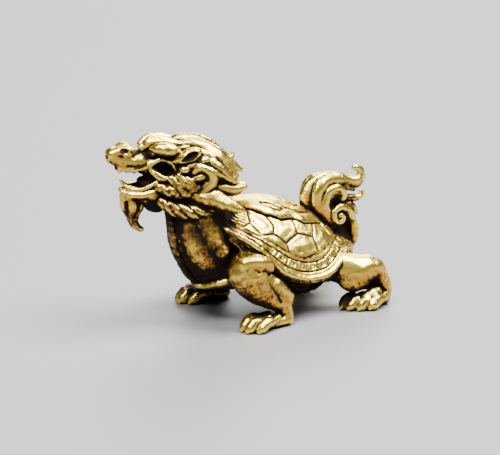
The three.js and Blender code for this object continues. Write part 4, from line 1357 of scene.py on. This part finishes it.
@dataclass
class Tail:
    """The upright tail: a plume of locks, hooks behind it and a stem that rolls up in a spiral."""

    root: Stations = ((9.6, 0, 8.6, 3), (12.3, 0, 9.6, 2.4), (13.9, 0, 11, 1.6))
    core: Stations = ((12.4, 0, 10.4, 2.1), (10.8, 0, 13.2, 2.2), (7.8, 0, 18.2, 2.2))
    outer: Stations = (
        (8.6, 0, 15.4, 1.6), (5.9, 0, 18.2, 1.7), (5.25, 0, 21.0, 1.8), (7.0, 0, 23.2, 1.4),
        (10.3, 0, 23.75, 1.02), (13.3, 0, 22.75, 1.0), (15.7, 0, 22.1, 1.08), (17.0, 0, 23.1, 0.8),
        (16.6, 0, 24.4, 0.52), (15.3, 0, 24.9, 0.45),
    )
    plume_core: Stations = ((8.0, 0, 19.8, 1.9), (10.6, 0, 20.4, 1.5), (12.4, 0, 21.2, 1.0))
    webs: tuple[Stations, ...] = (
        ((7.2, 0, 21.5, 1.2), (9.6, 0, 22.3, 1.0), (12.2, 0, 22.3, 0.7)),
        ((12.4, 0, 12.0, 1.4), (12.9, -0.2, 14.8, 1.15), (12.9, -0.2, 16.9, 1.0)),
    )
    hooks: tuple[Stations, ...] = (
        ((11.5, 0, 19.4, 1.4), (13.6, -0.2, 19.3, 0.8), (16.0, -0.3, 19.0, 0.6), (17.0, -0.3, 19.6, 0.42),
         (16.5, -0.3, 20.3, 0.3)),
        ((12.2, 0, 22.0, 0.9), (13.7, -0.3, 21.2, 0.62), (15.3, -0.3, 20.5, 0.3)),
        ((11.4, 0, 17.6, 1.4), (13.6, -0.3, 17.9, 0.85), (15.2, -0.4, 17.0, 0.6), (15.8, -0.4, 15.9, 0.32)),
    )
    # Painted shade inside the plume and under the hooks: the middle and radii of each patch, and how softly
    # it ends
    shades: tuple[tuple[Point, Point, float], ...] = (
        ((11.2, 0, 13.6), (3.2, 2.0, 4.2), 0.8), ((8.2, 0, 14.8), (4.6, 2.9, 3.9), 0.6),
        ((10.4, 0, 19.0), (1.9, 2.0, 1.7), 0.8), ((13.2, 0, 18.8), (1.9, 1.0, 2.0), 1.8),
    )
    middle: Stations = (
        (9.0, 1.5, 15.2, 1.2), (6.6, 2.0, 18.2, 1.15), (5.8, 2.0, 20.4, 1.1), (6.5, 1.8, 22.9, 1.15),
        (8.6, 1.4, 23.7, 0.85), (11.2, 0.8, 23.3, 0.65), (13.3, 0.4, 22.6, 0.5),
    )
    inner: Stations = (
        (9.0, 2.0, 15.0, 1.05), (6.9, 2.5, 18.2, 0.95), (7.0, 2.6, 20.3, 0.8), (8.2, 2.6, 21.9, 0.68),
        (9.8, 2.6, 22.3, 0.62), (11.2, 2.5, 21.5, 0.55), (11.7, 2.4, 20.5, 0.48), (11.4, 2.3, 19.75, 0.36),
    )
    stem: Stations = (
        (13.4, 0.4, 9.6, 1.25), (14.6, 0.9, 11.6, 1.0), (14.4, 1.6, 13.8, 0.82), (13.4, 2.3, 15.95, 0.7),
        (12.2, 2.8, 17.6, 0.65), (10.6, 3.0, 18.5, 0.6), (9.27, 3.0, 18.1, 0.58), (8.83, 3.0, 17.0, 0.55),
        (9.4, 3.0, 15.9, 0.52), (10.5, 3.0, 15.6, 0.48), (11.05, 3.05, 16.2, 0.42), (10.6, 3.1, 16.95, 0.38),
        (10.1, 3.1, 16.8, 0.3),
    )

    def press_into(self, clay: Clay) -> None:
        """Adds the tail to the block.

        Args:
            clay: the block.
        """
        band = {"flat": 0.8, "crest": 0.2, "up": (1, 0, 0), "steps": 5}
        clay.roll(self.root, 0.5)
        clay.roll(self.core, 0.2)
        clay.roll(self.outer, 0.1, **band)
        clay.roll(self.plume_core, 0.2)
        for web in self.webs:
            clay.roll(web, 0.2)
            # painted shade on the webs in the gaps between the locks
            clay.roll(web, 1.1, Use.SOIL_AND_PAINTED_SHADE)
        for hook in self.hooks:
            clay.roll(hook, 0.1)
            # the hooks' upper near faces rubbed clean: wear and painted highlight
            rubbed_and_top_lit = tuple((x, y - 0.6, z + 0.2, 0.6 * r) for x, y, z, r in hook[1:])
            clay.roll(rubbed_and_top_lit, 0.25, Use.WEAR, 0.5)
        # painted shade inside the plume
        for centre, radii, blend in self.shades:
            clay.ball(centre, radii, blend, Use.SOIL_AND_PAINTED_SHADE)
        for side in Side:
            clay.roll(self.middle, 0.2, side=side, **band)
            clay.roll(self.inner, 0.06, side=side, **band)
            clay.roll(self.stem, 0.06, side=side, steps=5)


class Socket:
    """A shader socket that takes part in Python sums."""

    def __init__(self, shader: "Shader", link: bpy.types.NodeSocket | None) -> None:
        """Wraps an output socket of a shader."""
        self.shader = shader
        self.link = link

    def _math(self, operation: str, a: object, b: object, clamp: bool = False) -> "Socket":
        """A Math node of two inputs."""
        return self.shader.node("ShaderNodeMath", {"operation": operation, "use_clamp": clamp}, {0: a, 1: b})

    def __add__(self, other: object) -> "Socket":
        """self + other."""
        return self._math("ADD", self, other)

    def __radd__(self, other: object) -> "Socket":
        """other + self."""
        return self._math("ADD", other, self)

    def __sub__(self, other: object) -> "Socket":
        """self - other."""
        return self._math("SUBTRACT", self, other)

    def __rsub__(self, other: object) -> "Socket":
        """other - self."""
        return self._math("SUBTRACT", other, self)

    def __mul__(self, other: object) -> "Socket":
        """self * other."""
        return self._math("MULTIPLY", self, other)

    def __rmul__(self, other: object) -> "Socket":
        """other * self."""
        return self._math("MULTIPLY", other, self)

    def clamped(self) -> "Socket":
        """The value kept between 0 and 1."""
        return self._math("ADD", self, 0.0, True)


class Shader:
    """A material whose nodes are added by method calls."""

    # The Mix node's sockets for colours
    FACTOR, FIRST, SECOND, MIXED = 0, 6, 7, 2

    def __init__(self, name: str) -> None:
        """Makes an empty node material.

        Args:
            name: the material's name.
        """
        self.material = bpy.data.materials.new(name)
        self.material.use_nodes = True
        self.tree = self.material.node_tree
        self.tree.nodes.clear()

    def node(self, kind: str, settings: dict[str, object] | None = None,
             sockets: dict[object, object] | None = None, output: object = 0) -> Socket:
        """Adds a node.

        Args:
            kind: the node's type.
            settings: its properties, which are set first.
            sockets: values or links of its inputs, by name or number.
            output: which output is handed back.

        Returns:
            The output as a socket.
        """
        made = self.tree.nodes.new(kind)
        for key, value in (settings or {}).items():
            setattr(made, key, value)
        for key, value in (sockets or {}).items():
            if isinstance(value, Socket):
                self.tree.links.new(value.link, made.inputs[key])
            else:
                made.inputs[key].default_value = value
        return Socket(self, made.outputs[output] if len(made.outputs) else None)

    def attribute(self, name: str) -> Socket:
        """A value stored on the mesh's points."""
        return self.node("ShaderNodeAttribute", {"attribute_name": name}, output="Fac")

    def blend(self, factor: Socket, a: object, b: object) -> Socket:
        """Colour a where the factor is 0 and b where it is 1."""
        return self.node("ShaderNodeMix", {"data_type": "RGBA", "clamp_factor": True},
                         {self.FACTOR: factor, self.FIRST: a, self.SECOND: b}, output=self.MIXED)

    def stepped(self, value: Socket, low: float, high: float, a: float = 0.0, b: float = 1.0) -> Socket:
        """The value carried smoothly from low..high to a..b."""
        return self.node("ShaderNodeMapRange", {"interpolation_type": "SMOOTHSTEP"},
                         {"Value": value, "From Min": low, "From Max": high, "To Min": a, "To Max": b})


@dataclass(frozen=True)
class OldBrass:
    """Cast brass, patinated dark and rubbed bright where hands reach, with painted shade under overhangs and
    on undersides and painted light on its tops.
    """

    bright: Point = (0.98, 0.74, 0.11)
    gold: Point = (0.64, 0.325, 0.035)
    tan: Point = (0.27, 0.13, 0.03)
    brown: Point = (0.06, 0.032, 0.012)
    dark: Point = (0.010, 0.006, 0.003)
    # Patterns, in bumps per metre
    mottle: float = 1300.0
    patch: float = 170.0
    speck: float = 2600.0
    grain: float = 2200.0
    grain_height: float = 0.0002  # in metres
    grain_strength: float = 0.35
    dirt_gloss: float = 0.12

    def material(self) -> bpy.types.Material:
        """Lays tan stains, brown age and black dirt over the rubbed metal, with painted shade in the brown
        and the black and painted light in the bright.

        Returns:
            The finish as a node material.
        """
        s = Shader("old_brass")
        where = s.node("ShaderNodeTexCoord", output="Object")
        hollow, patina_and_painted_shade = s.attribute("hollow"), s.attribute("patina_and_painted_shade")
        rubbed_and_top_lit, dirt_and_painted_shade = s.attribute("rubbed_and_top_lit"), s.attribute("dirt_and_painted_shade")

        def noise(scale: float, detail: float = 3.0, rough: float = 0.55) -> Socket:
            """Noise in the object's own space."""
            return s.node("ShaderNodeTexNoise", None,
                          {"Vector": where, "Scale": scale, "Detail": detail, "Roughness": rough})

        # each pattern is centred on 0, so that it moves the edge of what it breaks up both ways
        mottle = noise(self.mottle, 5.0, 0.68) - 0.5
        patch = noise(self.patch, 3.0) - 0.5
        speck = noise(self.speck, 2.0) - 0.5
        stain = s.stepped(mottle + 0.5 * patch - 0.32 * rubbed_and_top_lit + 0.3 * dirt_and_painted_shade, -0.06, 0.1)
        soil_and_painted_shade = dirt_and_painted_shade + 1.3 * mottle + 0.5 * patch
        # brown patina, with painted shade under overhangs and on undersides
        aged_and_painted_shade = 1.25 * patina_and_painted_shade + 0.5 * hollow + 1.1 * mottle + 0.5 * patch - 0.3 * rubbed_and_top_lit
        pits = s.stepped(speck - 0.25 * rubbed_and_top_lit, 0.05, 0.15)
        # black dirt in hollows, with painted shade under overhangs and on undersides
        lodged_and_painted_shade = hollow + 0.45 * patina_and_painted_shade + 0.8 * mottle + 0.4 * speck - 0.3 * rubbed_and_top_lit + 0.2 * dirt_and_painted_shade
        soaked_and_painted_shade = s.stepped(soil_and_painted_shade, 0.55, 0.9) + s.stepped(patina_and_painted_shade, 0.6, 1.0, 0.0, 0.6)
        grime_and_painted_shade = (s.stepped(lodged_and_painted_shade, 0.1, 0.42) + 0.55 * pits + soaked_and_painted_shade).clamped()
        # bright where rubbed and where painted light falls on the tops, gold elsewhere
        colour = s.blend(s.stepped(rubbed_and_top_lit + 0.6 * patch, 0.05, 0.55), (*self.gold, 1.0), (*self.bright, 1.0))
        # layers: tan stains, tan and brown dirt with painted shade, brown age with painted shade, black dirt
        # with painted shade
        for cover, tone in (
            (stain * 0.85, self.tan),
            (s.stepped(soil_and_painted_shade, 0.12, 0.4, 0.0, 0.9), self.tan),
            (s.stepped(aged_and_painted_shade, 0.15, 0.8) * 0.95, self.brown),
            (s.stepped(soil_and_painted_shade, 0.3, 0.62, 0.0, 0.92), self.brown),
            (grime_and_painted_shade, self.dark),
        ):
            colour = s.blend(cover, colour, (*tone, 1.0))
        rough = s.stepped(rubbed_and_top_lit, 0.0, 0.8, 0.42, 0.26) + 0.12 * stain + 0.3 * grime_and_painted_shade + 0.1 * speck
        metal = 1.0 - 0.9 * grime_and_painted_shade
        height = 0.55 * noise(self.grain, 3.0, 0.6) + 0.45 * noise(2.6 * self.grain, 2.0)
        bump = s.node("ShaderNodeBump", None, {
            "Strength": self.grain_strength, "Distance": self.grain_height, "Height": height,
        })
        surface = s.node("ShaderNodeBsdfPrincipled", None, {
            "Base Color": colour, "Metallic": metal.clamped(), "Roughness": rough.clamped(), "Normal": bump,
            "Specular IOR Level": self.dirt_gloss,
        })
        s.node("ShaderNodeOutputMaterial", None, {"Surface": surface})
        return s.material


@dataclass
class Casting:
    """The whole figure as one closed mesh that stands for the CAD solid."""

    finish: OldBrass = OldBrass()
    step: float = FINE_STEP
    lowered_right: float = 1.6  # how far the right shoulder is lowered
    skin: Stations = ((0.05, 1.1, 7), (0.022, 0.5, 8))  # roughness of the cast: height, grain and seed
    # Reaches on the drawing grid, over which hollows are felt and under which a mass above casts painted
    # shade
    fine: float = 0.32
    middle: float = 0.8
    broad: float = 2.0
    cover_reach: float = 5.0
    cover_most: float = 3.0
    cover_soft: float = 0.5
    beside: float = 0.9  # how far in front of the face the cover over it is measured

    def model(self) -> Clay:
        """Presses every sub-assembly into one block.

        Returns:
            The block.
        """
        clay = Clay(DRAWN_LOW, DRAWN_HIGH, self.step)
        Trunk().press_into(clay)
        for side in Side:
            Foreleg(side, 0.0 if side is Side.LEFT else self.lowered_right).press_into(clay)
            Hindleg(side).press_into(clay)
        LOG.info("body and legs pressed")
        Shell().press_into(clay)
        Tail().press_into(clay)
        Head().press_into(clay)
        LOG.info("shell, tail and head pressed")
        clay.values += sum(height * clay.noise(grain, seed) for height, grain, seed in self.skin)
        soles = (DRAWN_LOW[2] - clay.axes[2])[None, None, :]
        clay.values = np.maximum(clay.values, soles)
        return clay

    def draw_out(self, clay: Clay) -> bpy.types.Object:
        """Draws the block's face out as one closed mesh on the drawing grid.

        Args:
            clay: the block.

        Returns:
            The mesh as an object of the scene.
        """
        grid = openvdb.FloatGrid(FAR)
        grid.copyFromArray(clay.values)
        points, _, quads = grid.convertToPolygons(isovalue=0.0, adaptivity=0.0)
        points = points * clay.step + clay.low
        points, quads = self.largest(points, quads)
        mesh = bpy.data.meshes.new(PIECE)
        mesh.from_pydata(points.tolist(), [], quads.tolist())
        mesh.update()
        piece = bpy.data.objects.new(PIECE, mesh)
        bpy.context.scene.collection.objects.link(piece)
        share = MOST_TRIANGLES / (2 * len(quads))
        LOG.info("face drawn out: %d quads, kept share %.2f", len(quads), min(share, 1))
        if share < 1:
            fewer = piece.modifiers.new("fewer", "DECIMATE")
            fewer.ratio = share
            graph = bpy.context.evaluated_depsgraph_get()
            whole = bpy.data.meshes.new_from_object(piece.evaluated_get(graph))
            piece.modifiers.clear()
            piece.data = whole
        return piece

    @staticmethod
    def largest(points: np.ndarray, quads: np.ndarray) -> tuple[np.ndarray, np.ndarray]:
        """Keeps the largest connected part of a mesh.

        Args:
            points: its points.
            quads: its faces, by the numbers of their points.

        Returns:
            The points and faces that are kept.
        """
        label = np.arange(len(points))
        while True:
            low = label[quads].min(1)
            new = label.copy()
            np.minimum.at(new, quads.ravel(), np.repeat(low, 4))
            new = new[new]
            if (new == label).all():
                break
            label = new
        names, counts = np.unique(label, return_counts=True)
        keep = label == names[counts.argmax()]
        place = np.cumsum(keep) - 1
        return points[keep], place[quads[keep[quads].all(1)]]

    def weather(self, piece: bpy.types.Object, clay: Clay) -> None:
        """Stores how hollow each point of the face is, its patina and painted shade, its wear and painted
        top light, and its dirt and painted shade, from 0 to 1.

        Args:
            piece: the mesh, on the drawing grid.
            clay: the block that it was drawn out of.
        """
        mesh = piece.data
        points, normals = (np.empty((len(mesh.vertices), 3), np.float32) for _ in range(2))
        mesh.vertices.foreach_get("co", points.ravel())
        mesh.vertices.foreach_get("normal", normals.ravel())
        points = points.astype(float)
        filled = np.clip(0.5 - clay.values / clay.step, 0, 1)
        # over 0 where there is more metal around a point than around a flat face
        fine, middle, broad = (
            clay.sampled(clay.blurred(filled, reach / clay.step), points) - 0.5
            for reach in (self.fine, self.middle, self.broad)
        )
        # painted shade under overhangs: how much metal lies above each point, fading with the distance
        above = np.zeros_like(filled)
        fade = math.exp(-clay.step / self.cover_reach)
        for k in range(filled.shape[2] - 2, -1, -1):
            above[:, :, k] = above[:, :, k + 1] * fade + filled[:, :, k] * clay.step
        cover = clay.blurred(np.minimum(above, self.cover_most), self.cover_soft / clay.step)
        covered = clay.sampled(cover, points + self.beside * normals) / self.cover_most
        worn = clay.sampled(clay.worn, points)
        # painted shade on faces that point down
        under = np.maximum(-normals[:, 2] - 0.02, 0)
        # patina in broad hollows, with the painted shade under overhangs and on faces that point down
        patina_and_painted_shade = np.clip(2.7 * broad + 1.5 * covered - 0.15, 0, 1) + under
        patina_and_painted_shade = np.clip(patina_and_painted_shade, 0, 1) * (1 - worn)
        # painted light: faces that point up are made brighter, as if rubbed
        painted_top_light = (1 - patina_and_painted_shade) * np.clip(0.1 + 0.9 * normals[:, 2], 0, 1)
        edges = (-2.2 * fine - 0.9 * middle) * (1 - 0.8 * patina_and_painted_shade)
        stored = {
            "hollow": np.clip(8.0 * fine + 3.0 * middle, 0, 1) * (1 - 0.7 * worn),
            "patina_and_painted_shade": patina_and_painted_shade,
            "rubbed_and_top_lit": np.clip(edges + 0.9 * painted_top_light, 0, 1),
            "dirt_and_painted_shade": clay.sampled(clay.dirt_and_painted_shade, points) * (1 - worn),
        }
        for name, values in stored.items():
            layer = mesh.attributes.new(name, "FLOAT", "POINT")
            layer.data.foreach_set("value", values.astype(np.float32))

    def build(self, box: tuple[Vector, Vector]) -> bpy.types.Object:
        """Makes the casting in the frame's box.

        Args:
            box: the CAD solid's lowest and highest corner, in metres.

        Returns:
            The finished piece, riding on its body.
        """
        clay = self.model()
        piece = self.draw_out(clay)
        self.weather(piece, clay)
        scale = (box[1].x - box[0].x) / (DRAWN_HIGH[0] - DRAWN_LOW[0])
        middle = [0.5 * (a + b) for a, b in zip(DRAWN_LOW, DRAWN_HIGH)]
        origin = Vector((middle[0], middle[1], DRAWN_LOW[2]))
        floor = Vector((0.5 * (box[0].x + box[1].x), 0.5 * (box[0].y + box[1].y), box[0].z))
        placed = Matrix.Translation(floor) @ Matrix.Scale(scale, 4) @ Matrix.Translation(-origin)
        piece.data.transform(placed)
        piece.data.materials.clear()
        piece.data.materials.append(self.finish.material())
        piece.data.shade_smooth()
        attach(piece, "root")
        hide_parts(NODE)
        LOG.info("%s: %d faces", piece.name, len(piece.data.polygons))
        return piece


@dataclass(frozen=True)
class PaleFloor:
    """A plain, pale and nearly matt floor."""

    tone: Point = (0.23, 0.23, 0.24, 1)
    roughness: float = 0.55

    def material(self) -> bpy.types.Material:
        """Makes the finish.

        Returns:
            The finish as a node material.
        """
        s = Shader("pale_floor")
        paint = {"Base Color": self.tone, "Roughness": self.roughness}
        surface = s.node("ShaderNodeBsdfPrincipled", None, paint)
        s.node("ShaderNodeOutputMaterial", None, {"Surface": surface})
        return s.material


@dataclass
class Studio:
    """The floor, the lights and the camera."""

    azimuth: float = -33.0
    elevation: float = 16.0
    pixels_per_mm: float = 5.3
    picture: tuple[int, int] = (500, 455)
    aim: Point = (1.066, 0.082, 16.42)  # where the picture's middle falls, in millimetres of the frame
    away: float = 1.0
    sensor: float = 36.0
    finish: PaleFloor = PaleFloor()
    floor_half: float = 1.5
    sky_tone: Point = (0.55, 0.56, 0.58, 1)
    sky_strength: float = 0.14
    lit: Point = (0, 0, 0.015)  # where the lights face
    # Each light's name, place and side in metres, and watts
    lights: tuple[tuple[str, Point, float, float], ...] = (
        ("top", (0.75, -0.45, 1.6), 1.1, 120.0), ("left", (-0.9, -0.4, 1.7), 0.9, 74.0),
        ("back", (0.95, 1.2, 0.95), 1.0, 30.0),
    )

    def camera(self) -> None:
        """Sets up the camera at the photograph's viewing angle."""
        data = bpy.data.cameras.new("camera")
        data.sensor_width = self.sensor
        across = self.picture[0] / self.pixels_per_mm / 1000
        data.lens = self.sensor * self.away / across
        data.clip_end = 20
        camera = bpy.data.objects.new("camera", data)
        a, e = math.radians(self.azimuth), math.radians(self.elevation)
        back = Vector((math.sin(a) * math.cos(e), -math.cos(a) * math.cos(e), math.sin(e)))
        camera.location = Vector(self.aim) / 1000 + back * self.away
        camera.rotation_euler = (-back).to_track_quat("-Z", "Y").to_euler()
        bpy.context.scene.collection.objects.link(camera)
        bpy.context.scene.camera = camera

    def floor(self) -> None:
        """Lays a plain pale floor."""
        mesh = bpy.data.meshes.new("floor")
        half = self.floor_half
        corners = [(-half, -half, 0), (half, -half, 0), (half, half, 0), (-half, half, 0)]
        mesh.from_pydata(corners, [], [(0, 1, 2, 3)])
        floor = bpy.data.objects.new("floor", mesh)
        mesh.materials.append(self.finish.material())
        bpy.context.scene.collection.objects.link(floor)

    def light(self, name: str, place: Point, size: float, power: float) -> None:
        """Hangs a soft square light that faces the figure.

        Args:
            name: the light's name.
            place: where it hangs, in metres.
            size: the length of its side.
            power: its power in watts.
        """
        data = bpy.data.lights.new(name, "AREA")
        data.size = size
        data.energy = power
        lamp = bpy.data.objects.new(name, data)
        lamp.location = place
        lamp.rotation_euler = (Vector(self.lit) - Vector(place)).to_track_quat("-Z", "Y").to_euler()
        bpy.context.scene.collection.objects.link(lamp)

    def build(self) -> None:
        """Sets up the whole studio."""
        self.camera()
        self.floor()
        world = bpy.data.worlds.new("studio")
        world.use_nodes = True
        sky = world.node_tree.nodes["Background"].inputs
        sky["Color"].default_value = self.sky_tone
        sky["Strength"].default_value = self.sky_strength
        bpy.context.scene.world = world
        for light in self.lights:
            self.light(*light)


def main() -> None:
    """Builds the studio and the casting around the frame."""
    logging.basicConfig(level=logging.INFO, format="%(name)s: %(message)s")
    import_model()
    Studio().build()
    LOG.info("studio ready")
    step = FINE_STEP
    Casting(step=step).build(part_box(NODE))


if __name__ == "__main__":
    main()
